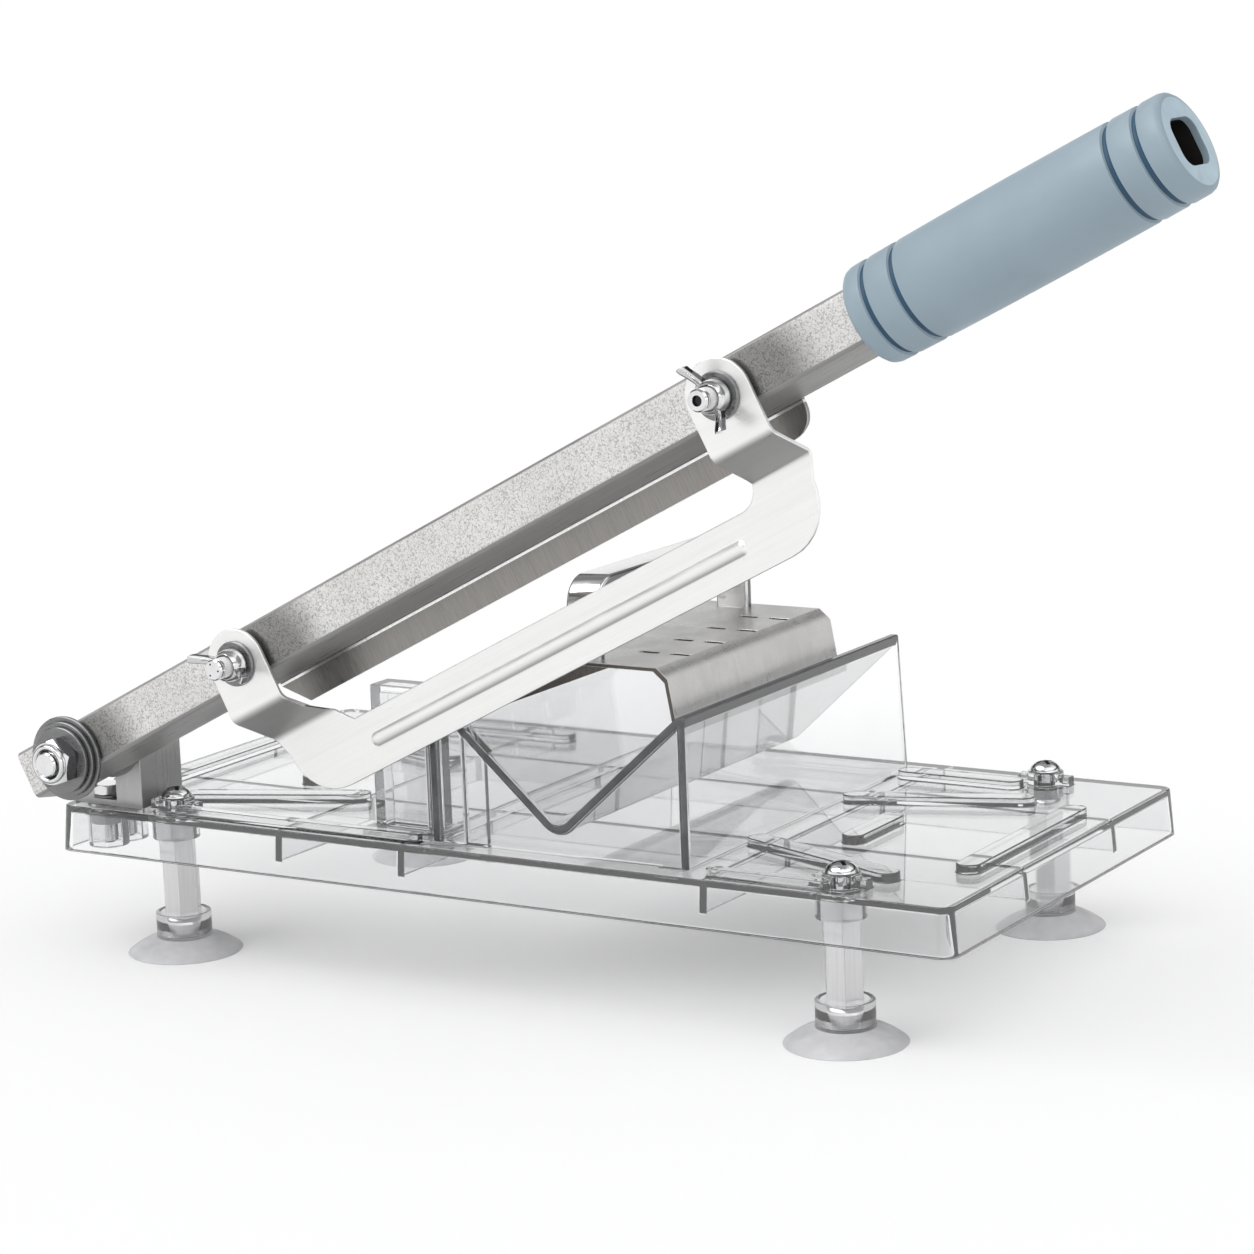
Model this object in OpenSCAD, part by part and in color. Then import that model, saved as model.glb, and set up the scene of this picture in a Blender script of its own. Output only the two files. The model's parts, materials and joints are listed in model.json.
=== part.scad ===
// Manual meat slicer: a clear footed board carries a V trough, and a lever arm with a
// blade, an adjustable slice guard and a grip turns on a bracket at the board's left end.
// Lengths are millimetres and angles degrees. Places are counted from the board's front
// left corner and from the table; framed() then moves the origin under the middle of the
// whole object. X runs along the board, Y away from the blade and Z up.

/* [Board] */
// Length of the board
board_length = 390; // [360:1:430]
// Width of the board
board_width = 194; // [188:1:220]
// Height of the board's top above the table
board_top = 57; // [50:1:80]
// Thickness of the clear sheet
sheet = 3; // [2.6:0.1:3.6]
// Height of the skirt, the board's sheet included
skirt_height = 18; // [14:1:24]
// Outward flare of the skirt at its foot
skirt_flare = 1.5; // [0.5:0.1:2]
// Radius of the board's corners
board_corner = 5; // [4:0.5:9]
// Height of the raised bars on the board
bar_height = 3.5; // [2.5:0.1:4]
// Width of the raised bars on the board
bar_width = 9.5; // [7:0.5:11]
// Thickness of the ribs under the board
rib_thickness = 2.7; // [2:0.1:4]
// Depth of the ribs under the board
rib_depth = 9.5; // [6:0.5:11]

/* [Legs] */
// Distance from a leg's axis to the board's end
leg_inset = 48; // [45:1:56]
// Distance from a leg's axis to the board's long edge
leg_margin = 13; // [12:0.5:16]
// Width of a leg across its flats
leg_flats = 13; // [11:0.5:15]
// Height of the boss over a leg
leg_boss_height = 5; // [4:0.5:6]
// Diameter of the boss over a leg
leg_boss = 14; // [13:0.5:16]
// Depth of the socket that a leg stands in
socket_depth = 8; // [6:0.5:10]
// Diameter of a suction cup
cup_diameter = 45; // [40:1:50]
// Height of a suction cup's dome
cup_dome = 6; // [5:0.5:8]
// Height of a suction cup's collar
collar_height = 10; // [7:0.5:12]
// Wall of a suction cup's collar
collar_wall = 2; // [1.5:0.1:3]
// Thread diameter of a foot screw
foot_thread = 6; // [5:0.5:7]
// Head diameter of a foot screw
foot_head = 12; // [11:0.5:13]

/* [Trough] */
// Distance from the board's left end to the trough
trough_start = 172; // [169:1:190]
// Width of the trough
trough_width = 110.5; // [90:0.5:112]
// Height of the trough's rim above the board
trough_height = 55.8; // [45:0.1:60]
// Length of the trough at its foot
trough_length = 172; // [150:1:175]
// Forward lean of the trough's rear edge
trough_lean = 5.6; // [0:0.1:10]
// Distance from the board's front edge to the trough's front
trough_front = 8.75; // [8.5:0.05:10]
// Height of the V's lowest outer line above the board
v_lift = 8.3; // [6:0.1:12]
// Inner radius of the V's bend
v_radius = 5; // [4:0.1:8]
// Width of the rib behind the trough's front
front_rib_width = 9.5; // [6:0.5:12]
// Depth of the rib behind the trough's front
front_rib_depth = 6; // [4:0.5:8]

/* [Guide post] */
// Distance from the board's left end to the guide post
post_start = 140; // [138:0.5:141]
// Width of the guide post
post_width = 26; // [22:0.5:28]
// Depth of the guide post
post_depth = 12; // [10:0.5:16]
// Distance from the board's front edge to the guide post
post_front = 17.5; // [16:0.5:24]

/* [Bracket and pivot] */
// Distance from the board's left end to the pivot
pivot_inset = 22; // [21:0.5:25]
// Height of the pivot above the board
pivot_height = 25; // [25:0.5:30]
// Thickness of the bracket's steel
bracket_steel = 2.5; // [2:0.1:3]
// Depth of the bracket's foot
bracket_depth = 25.5; // [24:0.5:30]
// Width of the bracket's foot
bracket_foot = 34; // [32:0.5:36]
// Radius of the bracket's eye round the pivot
bracket_eye = 13; // [11:0.5:14]
// Width of the bracket's upright below the eye
bracket_neck = 13; // [11:0.5:15]
// Thread diameter of the pivot bolt
pivot_thread = 10; // [8:0.5:12]
// Width of the pivot bolt's head and nut across the flats
pivot_flats = 17; // [15:0.5:19]
// Diameter of the widest pivot washer
pivot_washer = 33; // [28:0.5:34]
// Thread diameter of the bracket's bolts
bracket_thread = 6; // [5:0.5:6.5]
// Width of the bracket bolts' heads and nuts across the flats
bracket_flats = 10; // [9:0.5:10]

/* [Arm] */
// Angle of the arm above level at rest
rest_angle = 27; // [20:0.5:32]
// Height of the arm's front face
arm_height = 19.4; // [17:0.1:20]
// Drop of the arm's underside towards its back
arm_drop = 3.4; // [0:0.1:3.6]
// Depth of the arm from front to back
arm_depth = 24; // [22:0.5:25]
// Wall of the arm's tube
arm_wall = 1.8; // [1.2:0.1:2.5]
// Outer radius of the arm's edges
arm_corner = 2.5; // [2:0.1:3.5]
// Length of the arm behind its pivot
arm_tail = 24; // [20:0.5:25]

/* [Grip] */
// Distance from the pivot to the grip
grip_start = 391; // [380:1:420]
// Length of the grip
grip_length = 126.5; // [110:0.5:140]
// Diameter of the grip at its ends
grip_diameter = 35.5; // [35:0.1:38]
// Swell of the grip's radius at its middle
grip_swell = 0.5; // [0:0.1:1.5]
// Width of a groove round the grip
groove_width = 2.2; // [1.5:0.1:3]
// Depth of a groove round the grip
groove_depth = 1.1; // [0.6:0.1:1.2]

/* [Blade] */
// Thickness of the blade
blade_thickness = 2; // [1.5:0.1:2.5]
// Distance from the pivot to the blade
blade_start = 90.5; // [88:0.5:92]
// Length of the blade
blade_length = 256; // [250:1:262]
// Height of the blade
blade_height = 31; // [28:0.5:32]
// Height of the blade behind the arm above the pivot line
blade_rise = 8.5; // [6:0.5:9]
// Height of the ground edge
bevel_height = 3; // [2:0.1:5]
// Gap between the blade and the trough's front
blade_gap = 1.75; // [1:0.05:2.5]

/* [Guard] */
// Distance from the pivot to the lower stud
stud_start = 97; // [96:0.5:100]
// Distance between the two studs
stud_span = 236; // [234:1:240]
// Thread diameter of a stud
stud_thread = 8; // [6:0.5:8]
// Length of a stud in front of the arm
stud_reach = 17.5; // [17:0.5:22]
// Thickness of the guard's sheet steel
guard_steel = 1.5; // [1.2:0.1:2]
// Gap between the blade and the guard's bar
slice_gap = 7.7; // [6.7:0.1:8.7]
// Gap between the arm and the guard's ears
ear_gap = 2; // [1.5:0.1:2.5]
// Radius of the guard's ears
ear_radius = 13; // [12:0.1:14]
// Width of the guard's bar
guard_bar = 21.5; // [18:0.5:24]
// Distance from the pivot line down to the bar's inner edge
guard_drop = 37; // [34:0.5:38]
// Radius of the guard's outer corners
guard_corner = 20; // [14:0.5:21]
// Width of the bead pressed into the bar
bead_width = 5.5; // [4:0.1:8]
// Height of the bead pressed into the bar
bead_height = 1.2; // [0.6:0.1:1.8]

/* [Wing nuts] */
// Diameter of a wing nut's hub at its foot
wing_hub = 13; // [11:0.5:15]
// Height of a wing nut's hub
wing_hub_height = 6; // [5:0.5:8]
// Span over a wing nut's two wings
wing_span = 28; // [24:0.5:32]
// Height of a wing above the hub's foot
wing_height = 11; // [8:0.5:12]
// Thickness of a wing
wing_thickness = 3; // [2:0.1:4]

/* [Press] */
// Width of the press cover over its top
press_width = 76; // [60:1:80]
// Length of the press cover
press_length = 124; // [110:1:130]
// Height of the press cover's flanks
press_flank = 22; // [18:0.5:30]
// Outward flare of a flank at its foot
press_flare = 4; // [2:0.5:6]
// Thickness of the press cover's steel
press_steel = 1.5; // [1:0.1:2]
// Distance from the board's front edge to the press cover
press_front = 26; // [22:1:30]
// Length of the press handle
handle_length = 114; // [90:1:118]
// Width of the press handle's strap
handle_width = 14; // [10:0.5:18]
// Thickness of the press handle's strap
handle_strap = 4.5; // [3:0.1:6]
// Height of the press handle above the cover
handle_height = 30; // [26:0.5:36]
// Outer radius of the press handle's bends
handle_bend = 11; // [8:0.5:13]

/* [Hidden] */
// Number of facets on round surfaces
$fn = 64;
// Radial clearance between a bolt and its hole
bolt_clearance = 0.1;
// Radial clearance of the arm's sleeve on the pivot bolt
running_clearance = 0.05;
// Gap between pieces that move past each other
moving_gap = 0.3;
// Clearance round a leg in its socket and in its cup
leg_clearance = 0.15;
// Clearance round a tab in its slot
tab_clearance = 0.15;
// Overrun of a cut past the face that it opens
overrun = 1;
// Thickness of the slabs that the tapered skirt is drawn between
slab = 0.01;
// Facets of the rounded shapes that are drawn by hull()
hull_facets = 32;
// Facets of a wing nut's round edges
wing_facets = 16;
// Steps of an outline's round corner
corner_steps = 8;

// Board
board_under = board_top - sheet;
skirt_foot = board_top - skirt_height;
// Centre lines of the raised bars at the right, as shares of the board's length and width,
// with the width of each as a share of bar_width
right_bar_shares = [
    [0.960, 0.246, 0.960, 0.702, 1],
    [0.813, 0.358, 0.813, 0.513, 0.95],
    [0.738, 0.265, 0.905, 0.134, 1],
    [0.755, 0.0284, 0.867, 0.0284, 0.58],
    [0.739, 0.644, 0.895, 0.750, 1],
    [0.742, 0.871, 0.854, 0.871, 1]
];
// The same for the bars at the left
left_bar_shares = [
    [0.040, 0.246, 0.040, 0.702, 1],
    [0.187, 0.358, 0.187, 0.513, 0.95],
    [0.276, 0.268, 0.121, 0.144, 1],
    [0.145, 0.0284, 0.426, 0.0284, 0.58],
    [0.264, 0.642, 0.105, 0.750, 1],
    [0.323, 0.871, 0.146, 0.871, 1]
];
// Places of the ribs under the board, as shares of its length and of its width
cross_rib_shares = [0.270, 0.415, 0.749];
long_rib_shares = [0.322, 0.714];
// Length of a small lug on a leg's boss
boss_lug = 4;
boss_lug_width = 5;

// Legs
leg_corners = leg_flats / cos(30);
socket_wall = 1.6;
socket_diameter = leg_corners + 2 * leg_clearance + 2 * socket_wall;
cup_rim = 1;
cup_wall = 2;
cup_floor = cup_dome + 1;
cup_steps = 12;
leg_disc = leg_corners + 2.6;
leg_disc_height = 6;
collar_diameter = leg_disc + 2 * collar_wall;
foot_head_height = 3.8;
foot_recess = 1.4;
foot_recess_depth = 1.8;
foot_recess_length = 6.4;
foot_grip = 14;
foot_shank = leg_boss_height + sheet + foot_grip;
foot_hole_depth = 18;
leg_names = ["front_left", "front_right", "rear_left", "rear_right"];
leg_places = [
    [leg_inset, leg_margin],
    [board_length - leg_inset, leg_margin],
    [leg_inset, board_width - leg_margin],
    [board_length - leg_inset, board_width - leg_margin]
];

// Trough
trough_end = trough_start + trough_width;
trough_middle = trough_start + trough_width / 2;
rim_top = board_top + trough_height;
v_outer = v_radius + sheet;
v_centre = board_top + v_lift + v_outer;
// Drop from the rim to where the V's outer face meets the wall's outer face
v_drop = 1;
v_rise = rim_top - v_drop - v_centre;
v_distance = norm([trough_width / 2, v_rise]);
v_slope = atan2(v_rise, trough_width / 2) + asin(v_outer / v_distance);
v_reach = v_distance + sheet;
// Step from the ends of the V and the walls back to the front plate
plate_step = 0.5;
tab_width = front_rib_width;
front_rib_share = 0.12;
front_rib_start = trough_start + trough_width * front_rib_share;
rear_tab_share = 0.88;

// Guide post
post_foot = 3;
post_foot_height = 1.5;

// Lever plane
blade_rear = trough_front - blade_gap;
arm_rear = blade_rear - blade_thickness;
arm_front = arm_rear - arm_depth;
arm_half = (arm_height + arm_drop) / 2;
pivot_z = board_top + pivot_height;
grip_end = grip_start + grip_length;
arm_end_recess = 2.5;
arm_end = grip_end - arm_end_recess;

// Bracket and pivot
bracket_gap = 1.5;
bracket_front = arm_rear + bracket_gap;
bracket_reach = 14;
bracket_right = pivot_inset + bracket_reach;
bracket_left = bracket_right - bracket_foot;
bracket_rise = 10;
bracket_bolt_inset = 12.5;
bracket_bolt_x = bracket_left + bracket_bolt_inset;
bracket_bolt_front = bracket_front + bracket_flats / cos(30) / 2;
bracket_bolt_margin = 2;
bracket_bolt_span = bracket_depth - bracket_flats / cos(30) - bracket_bolt_margin;
bracket_washer_steel = 1;
bracket_head = 4;
bracket_nut = 5;
bracket_bolt_end = 13;
bracket_boss = 16;
bracket_boss_depth = 14;
sleeve_wall = 2;
sleeve_radius = pivot_thread / 2 + sleeve_wall;
washer_count = 3;
washer_steel = 1.7;
washer_step = 3.5;
washer_gap = 0.05;
pivot_nut_turn = 20;
pivot_nut_shoulder = 1;
pivot_nut_height = 6.4;
pivot_nut_collar = 1.4;
pivot_end = 1.2;
pivot_head = 6.4;
washer_stack = washer_count * (washer_steel + washer_gap);
washer_front = arm_front - moving_gap - washer_stack;
pivot_bolt_front = washer_front - pivot_nut_height - pivot_nut_collar - pivot_end;

// Studs and guard
stud_places = [stud_start, stud_start + stud_span];
stud_head = 14;
stud_head_height = 3.5;
stud_front = arm_front - stud_reach;
stud_dimple = 2.4;
ear_rear = arm_front - ear_gap;
ear_front = ear_rear - guard_steel;
bar_rear = arm_rear - slice_gap;
bar_front = bar_rear - guard_steel;
spacer_diameter = 15;
spacer_thickness = ear_gap - moving_gap;
guard_washer = 17;
guard_washer_steel = 1.4;
wing_foot = ear_front - guard_washer_steel;
hub_foot = wing_foot - moving_gap;
// Where the guard's ears end and its bar begins, below the pivot line
fold_top = 18.5;
fold_foot = 29;
fold_angle = atan2(bar_rear - ear_rear, fold_foot - fold_top);
fold_shift = guard_steel * tan(fold_angle / 2);
guard_foot = guard_drop + guard_bar;
guard_left = stud_start - ear_radius;
guard_right = stud_start + stud_span + ear_radius;
guard_taper = 4;
bead_left_margin = 44.5;
bead_right_margin = 41;
bead_start = guard_left + bead_left_margin;
bead_end = guard_right - bead_right_margin;
bead_radius = (bead_width * bead_width / 4 + bead_height * bead_height) / (2 * bead_height);

// Wing nuts, with the angle of each one's wings from the arm's line
wing_names = ["lower", "upper"];
wing_angles = [138, 98];
wing_tip = 4;
wing_root = 2.4;
wing_root_inset = 1.6;
wing_hub_taper = 2.5;

// Press
press_slope_half = press_width / 2 + press_flare;
v_apex = v_centre - v_radius / cos(v_slope);
press_foot = v_apex + (press_slope_half + moving_gap) * tan(v_slope);
press_top = press_foot + press_flank;
press_corner = 4;
press_angle = atan2(press_flare, press_flank);
handle_front = press_front + (press_length - handle_length) / 2;
tenon_length = 8;
press_slot = 3;
press_slot_length = 8;
press_slot_rows = 2;
press_slot_columns = 4;
press_slot_step = 13;
press_tooth_drop = 3;
press_tooth_steel = 1.2;

// The whole object's middle, which the origin lies under
left_most = pivot_inset - arm_tail * cos(rest_angle) - arm_half * sin(rest_angle);
right_most = pivot_inset + grip_end * cos(rest_angle) + grip_diameter / 2 * sin(rest_angle);
middle_x = (left_most + right_most) / 2;
middle_y = (board_width - leg_margin + cup_diameter / 2 + stud_front) / 2;

// Moves a piece from the board's corner to the whole object's frame
module framed() {
    translate([-middle_x, -middle_y, 0])
        children();
}

// Places lever pieces: X along the arm from the pivot, Z up from the pivot line
module on_arm() {
    translate([pivot_inset, 0, pivot_z])
        rotate([0, -rest_angle, 0])
            children();
}

// Stands a flat outline up, its X and Y becoming X and Z, from y_front to y_rear
module upright(y_front, y_rear) {
    translate([0, y_rear, 0])
        rotate([90, 0, 0])
            linear_extrude(y_rear - y_front)
                children();
}

// Stands a flat outline up, its X and Y becoming Y and Z, from x_left to x_right
module sideways(x_left, x_right) {
    translate([x_left, 0, 0])
        rotate([90, 0, 90])
            linear_extrude(x_right - x_left)
                children();
}

// Round bar along Y from y_front to y_rear
module rod(radius, y_front, y_rear) {
    translate([0, y_rear, 0])
        rotate([90, 0, 0])
            cylinder(r = radius, h = y_rear - y_front);
}

// Hexagonal bar along Y
module hex_rod(flats, y_front, y_rear) {
    translate([0, y_rear, 0])
        rotate([90, 0, 0])
            cylinder(d = flats / cos(30), h = y_rear - y_front, $fn = 6);
}

// Ring along Y
module ring(outer, inner, y_front, y_rear) {
    difference() {
        rod(outer, y_front, y_rear);
        rod(inner, y_front - overrun, y_rear + overrun);
    }
}

// Points of an arc from one angle to another
function arc(centre, radius, from, to) = [
    for (step = [0:corner_steps])
        centre + radius * [
            cos(from + (to - from) * step / corner_steps),
            sin(from + (to - from) * step / corner_steps)
        ]
];

// Outline with two round ends
module stadium(a, b, width) {
    run = norm(b - a);
    translate(a)
        rotate(atan2(b[1] - a[1], b[0] - a[0])) {
            translate([0, -width / 2])
                square([run, width]);
            circle(d = width);
            translate([run, 0])
                circle(d = width);
        }
}

// Rectangle with round corners
module rounded(x0, y0, x1, y1, radius) {
    translate([x0 + radius, y0])
        square([x1 - x0 - 2 * radius, y1 - y0]);
    translate([x0, y0 + radius])
        square([x1 - x0, y1 - y0 - 2 * radius]);
    for (x = [x0 + radius, x1 - radius], y = [y0 + radius, y1 - radius])
        translate([x, y])
            circle(radius);
}

// The board's outline, grown by a margin
module board_outline(grow) {
    rounded(-grow, -grow, board_length + grow, board_width + grow, board_corner + grow);
}

// Body of the skirt between its top and foot, set in by a wall
module skirt_body(wall, top, foot) {
    hull() {
        translate([0, 0, top - slab])
            linear_extrude(slab)
                board_outline(-wall, $fn = hull_facets);
        translate([0, 0, board_under - slab])
            linear_extrude(slab)
                board_outline(-wall, $fn = hull_facets);
        translate([0, 0, foot])
            linear_extrude(slab)
                board_outline(skirt_flare - wall, $fn = hull_facets);
    }
}

// Raised bars on the board's top
module bars(shares) {
    for (bar = shares)
        translate([0, 0, board_under])
            linear_extrude(sheet + bar_height)
                stadium(
                    [bar[0] * board_length, bar[1] * board_width],
                    [bar[2] * board_length, bar[3] * board_width],
                    bar[4] * bar_width
                );
}

// Ribs under the board
module ribs() {
    for (share = cross_rib_shares)
        translate([share * board_length - rib_thickness / 2, sheet / 2, board_under - rib_depth])
            cube([rib_thickness, board_width - sheet, rib_depth + sheet / 2]);
    for (share = long_rib_shares)
        translate([sheet / 2, share * board_width - rib_thickness / 2, board_under - rib_depth])
            cube([board_length - sheet, rib_thickness, rib_depth + sheet / 2]);
}

// Boss and socket that hold one leg
module leg_seat() {
    translate([0, 0, board_under])
        cylinder(d = leg_boss, h = sheet + leg_boss_height);
    translate([-leg_boss / 2 - boss_lug, -boss_lug_width / 2, board_under])
        cube([leg_boss + 2 * boss_lug, boss_lug_width, sheet + bar_height]);
    translate([0, 0, board_under - socket_depth])
        cylinder(d = socket_diameter, h = socket_depth + sheet / 2);
}

// Holes for one leg and its screw
module leg_seat_holes() {
    translate([0, 0, board_under - socket_depth - overrun])
        cylinder(d = leg_corners + 2 * leg_clearance, h = socket_depth + overrun, $fn = 6);
    cylinder(d = foot_thread + 2 * bolt_clearance, h = board_top + leg_boss_height + overrun);
}

// Places of the two bracket bolts
module at_bracket_bolts() {
    for (y = [bracket_bolt_front, bracket_bolt_front + bracket_bolt_span])
        translate([bracket_bolt_x, y, 0])
            children();
}

// Tabs that hold the trough and the post in the board's slots, drawn up into their walls
module tabs(grow) {
    tab_height = sheet + overrun;
    for (x = [front_rib_start, trough_end - sheet - tab_width])
        translate([x - grow, trough_front + plate_step - grow, board_under - grow])
            cube([tab_width + 2 * grow, sheet - plate_step + 2 * grow, tab_height + grow]);
    for (x = [trough_start, trough_end - sheet])
        translate([x - grow, trough_front + trough_length * rear_tab_share - grow, board_under - grow])
            cube([sheet + 2 * grow, tab_width + 2 * grow, tab_height + grow]);
    for (x = [post_start, post_start + post_width - sheet])
        translate([x - grow, post_front + sheet - grow, board_under - grow])
            cube([sheet + 2 * grow, post_depth - 2 * sheet + 2 * grow, tab_height + grow]);
}

module board() {
    color([0.88, 0.91, 0.93, 0.45])
        framed()
            difference() {
                union() {
                    difference() {
                        skirt_body(0, board_top, skirt_foot);
                        skirt_body(sheet, board_under, skirt_foot - overrun);
                    }
                    bars(right_bar_shares);
                    bars(left_bar_shares);
                    ribs();
                    for (place = leg_places)
                        translate(place)
                            leg_seat();
                    at_bracket_bolts()
                        translate([0, 0, board_under - bracket_boss_depth])
                            cylinder(d = bracket_boss, h = bracket_boss_depth + sheet / 2);
                }
                for (place = leg_places)
                    translate(place)
                        leg_seat_holes();
                at_bracket_bolts() {
                    translate([0, 0, skirt_foot])
                        cylinder(d = bracket_thread + 2 * bolt_clearance, h = skirt_height + overrun);
                    translate([0, 0, board_under - bracket_boss_depth - overrun])
                        cylinder(
                            d = bracket_flats / cos(30) + 2 * bolt_clearance,
                            h = bracket_boss_depth + overrun,
                            $fn = 6
                        );
                }
                tabs(tab_clearance);
            }
}

// Far end of one arm of the V, on a line at a radius from the bend's centre
function v_arm_end(side, radius) = [
    trough_middle + side * (radius * sin(v_slope) + v_reach * cos(v_slope)),
    v_centre - radius * cos(v_slope) + v_reach * sin(v_slope)
];

// One line of the V, from its left arm's end round the bend to its right arm's end
function v_line(radius) = concat(
    [v_arm_end(-1, radius)],
    arc([trough_middle, v_centre], radius, 270 - v_slope, 270 + v_slope),
    [v_arm_end(1, radius)]
);

// Points of a line in the other order
function reversed(points) = [for (index = [len(points) - 1:-1:0]) points[index]];

// The room inside the V
module v_room() {
    polygon(v_line(v_radius));
}

// The V's bent sheet, seen from the front
module v_sheet() {
    polygon(concat(v_line(v_outer), reversed(v_line(v_radius))));
}

module trough() {
    color([0.86, 0.90, 0.92, 0.45])
        framed() {
            intersection() {
                union() {
                    upright(trough_front, trough_front + trough_length)
                        v_sheet();
                    upright(trough_front + plate_step, trough_front + sheet)
                        difference() {
                            translate([trough_start, board_top])
                                square([trough_width, trough_height]);
                            v_room();
                        }
                    for (x = [trough_start, trough_end - sheet])
                        translate([x, trough_front, board_top])
                            cube([sheet, trough_length, trough_height]);
                    upright(trough_front + plate_step, trough_front + front_rib_depth)
                        difference() {
                            translate([front_rib_start, board_top])
                                square([front_rib_width, trough_height]);
                            v_room();
                        }
                }
                sideways(trough_start, trough_end)
                    polygon([
                        [trough_front, board_top],
                        [trough_front + trough_length, board_top],
                        [trough_front + trough_length - trough_lean, rim_top],
                        [trough_front, rim_top]
                    ]);
            }
            intersection() {
                tabs(0);
                translate([trough_start, 0, 0])
                    cube([trough_width, board_width, board_top + overrun]);
            }
        }
}

module guide_post() {
    color([0.86, 0.90, 0.92, 0.45])
        framed() {
            difference() {
                union() {
                    translate([post_start, post_front, board_top])
                        cube([post_width, post_depth, trough_height]);
                    translate([post_start - post_foot, post_front - post_foot, board_top])
                        cube([post_width + 2 * post_foot, post_depth + 2 * post_foot, post_foot_height]);
                }
                translate([post_start + sheet, post_front + sheet, board_top - overrun])
                    cube([post_width - 2 * sheet, post_depth - 2 * sheet, trough_height - sheet + overrun]);
            }
            intersection() {
                tabs(0);
                cube([trough_start, board_width, board_top + overrun]);
            }
        }
}

// Hexagonal leg with a round foot and a threaded hole in its top
module leg(place) {
    color([0.82, 0.84, 0.86])
        framed()
            translate([place[0], place[1], cup_floor])
                difference() {
                    union() {
                        cylinder(d = leg_corners, h = board_under - cup_floor, $fn = 6);
                        cylinder(d = leg_disc, h = leg_disc_height);
                    }
                    translate([0, 0, board_under - cup_floor - foot_hole_depth])
                        cylinder(d = foot_thread + 2 * bolt_clearance, h = foot_hole_depth + overrun);
                }
}

// Radius and height of a point on the suction cup's dome, out from its collar
function dome_point(t, radius, low, high) = [
    collar_diameter / 2 + (radius - collar_diameter / 2) * t,
    low + (high - low) * cos(90 * t)
];

// Soft suction cup with a collar round the leg
module cup(place) {
    rim_radius = cup_diameter / 2;
    top = [for (step = [0:cup_steps]) dome_point(step / cup_steps, rim_radius, cup_rim, cup_dome)];
    under = [
        for (step = [cup_steps:-1:0])
            [(rim_radius - cup_rim) * step / cup_steps, (cup_dome - cup_wall) * cos(90 * step / cup_steps)]
    ];
    color([0.85, 0.87, 0.88, 0.6])
        framed()
            translate([place[0], place[1], 0])
                difference() {
                    union() {
                        rotate_extrude()
                            polygon(concat([[0, cup_dome]], top, [[rim_radius, 0]], under));
                        cylinder(d = collar_diameter, h = cup_dome + collar_height - slab);
                    }
                    rotate_extrude()
                        polygon(concat(under, [[0, -overrun], [rim_radius - cup_rim, -overrun]]));
                    translate([0, 0, cup_floor])
                        cylinder(d = leg_disc + 2 * leg_clearance, h = collar_height + overrun);
                }
}

// Round-headed screw with a cross recess, standing on z = 0 with its shank below
module cross_screw(head, head_height, thread, shank) {
    ball = (head * head / 4 + head_height * head_height) / (2 * head_height);
    difference() {
        intersection() {
            translate([0, 0, head_height - ball])
                sphere(ball);
            cylinder(d = head, h = head_height + overrun);
        }
        for (turn = [45, 135])
            rotate(turn)
                translate([-foot_recess_length / 2, -foot_recess / 2, head_height - foot_recess_depth])
                    cube([foot_recess_length, foot_recess, foot_recess_depth + overrun]);
    }
    translate([0, 0, -shank])
        cylinder(d = thread, h = shank + slab);
}

module foot_screws() {
    color("silver")
        framed()
            for (place = leg_places)
                translate([place[0], place[1], board_top + leg_boss_height])
                    cross_screw(foot_head, foot_head_height, foot_thread, foot_shank);
}

module bracket() {
    foot_top = board_top + bracket_steel;
    side_top = pivot_z + bracket_rise;
    color([0.72, 0.72, 0.73])
        framed()
            difference() {
                union() {
                    translate([bracket_left, bracket_front, board_top])
                        cube([bracket_foot, bracket_depth, bracket_steel]);
                    upright(bracket_front, bracket_front + bracket_steel) {
                        translate([pivot_inset, pivot_z])
                            circle(bracket_eye);
                        translate([bracket_right - bracket_neck, board_top])
                            square([bracket_neck, side_top - board_top]);
                        translate([pivot_inset, pivot_z - bracket_eye])
                            square([bracket_right - pivot_inset, bracket_eye + bracket_rise]);
                    }
                    translate([bracket_right - bracket_steel, bracket_front, board_top])
                        cube([bracket_steel, bracket_depth, side_top - board_top]);
                }
                translate([pivot_inset, 0, pivot_z])
                    rod(
                        pivot_thread / 2 + bolt_clearance,
                        bracket_front - overrun,
                        bracket_front + bracket_steel + overrun
                    );
                at_bracket_bolts()
                    cylinder(d = bracket_thread + 2 * bolt_clearance, h = foot_top + overrun);
            }
}

module bracket_bolts() {
    head_foot = board_top + bracket_steel + bracket_washer_steel;
    color("silver")
        framed()
            at_bracket_bolts() {
                translate([0, 0, head_foot])
                    cylinder(d = bracket_flats / cos(30), h = bracket_head, $fn = 6);
                translate([0, 0, board_under - bracket_bolt_end])
                    cylinder(d = bracket_thread, h = head_foot - board_under + bracket_bolt_end + slab);
            }
}

module bracket_washers() {
    color("silver")
        framed()
            at_bracket_bolts()
                translate([0, 0, board_top + bracket_steel])
                    difference() {
                        cylinder(d = bracket_flats / cos(30), h = bracket_washer_steel);
                        translate([0, 0, -overrun])
                            cylinder(
                                d = bracket_thread + 2 * bolt_clearance,
                                h = bracket_washer_steel + 2 * overrun
                            );
                    }
}

module bracket_nuts() {
    color("silver")
        framed()
            at_bracket_bolts()
                translate([0, 0, board_under - bracket_nut])
                    difference() {
                        cylinder(d = bracket_flats / cos(30), h = bracket_nut, $fn = 6);
                        translate([0, 0, -overrun])
                            cylinder(d = bracket_thread + 2 * bolt_clearance, h = bracket_nut + 2 * overrun);
                    }
}

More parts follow.
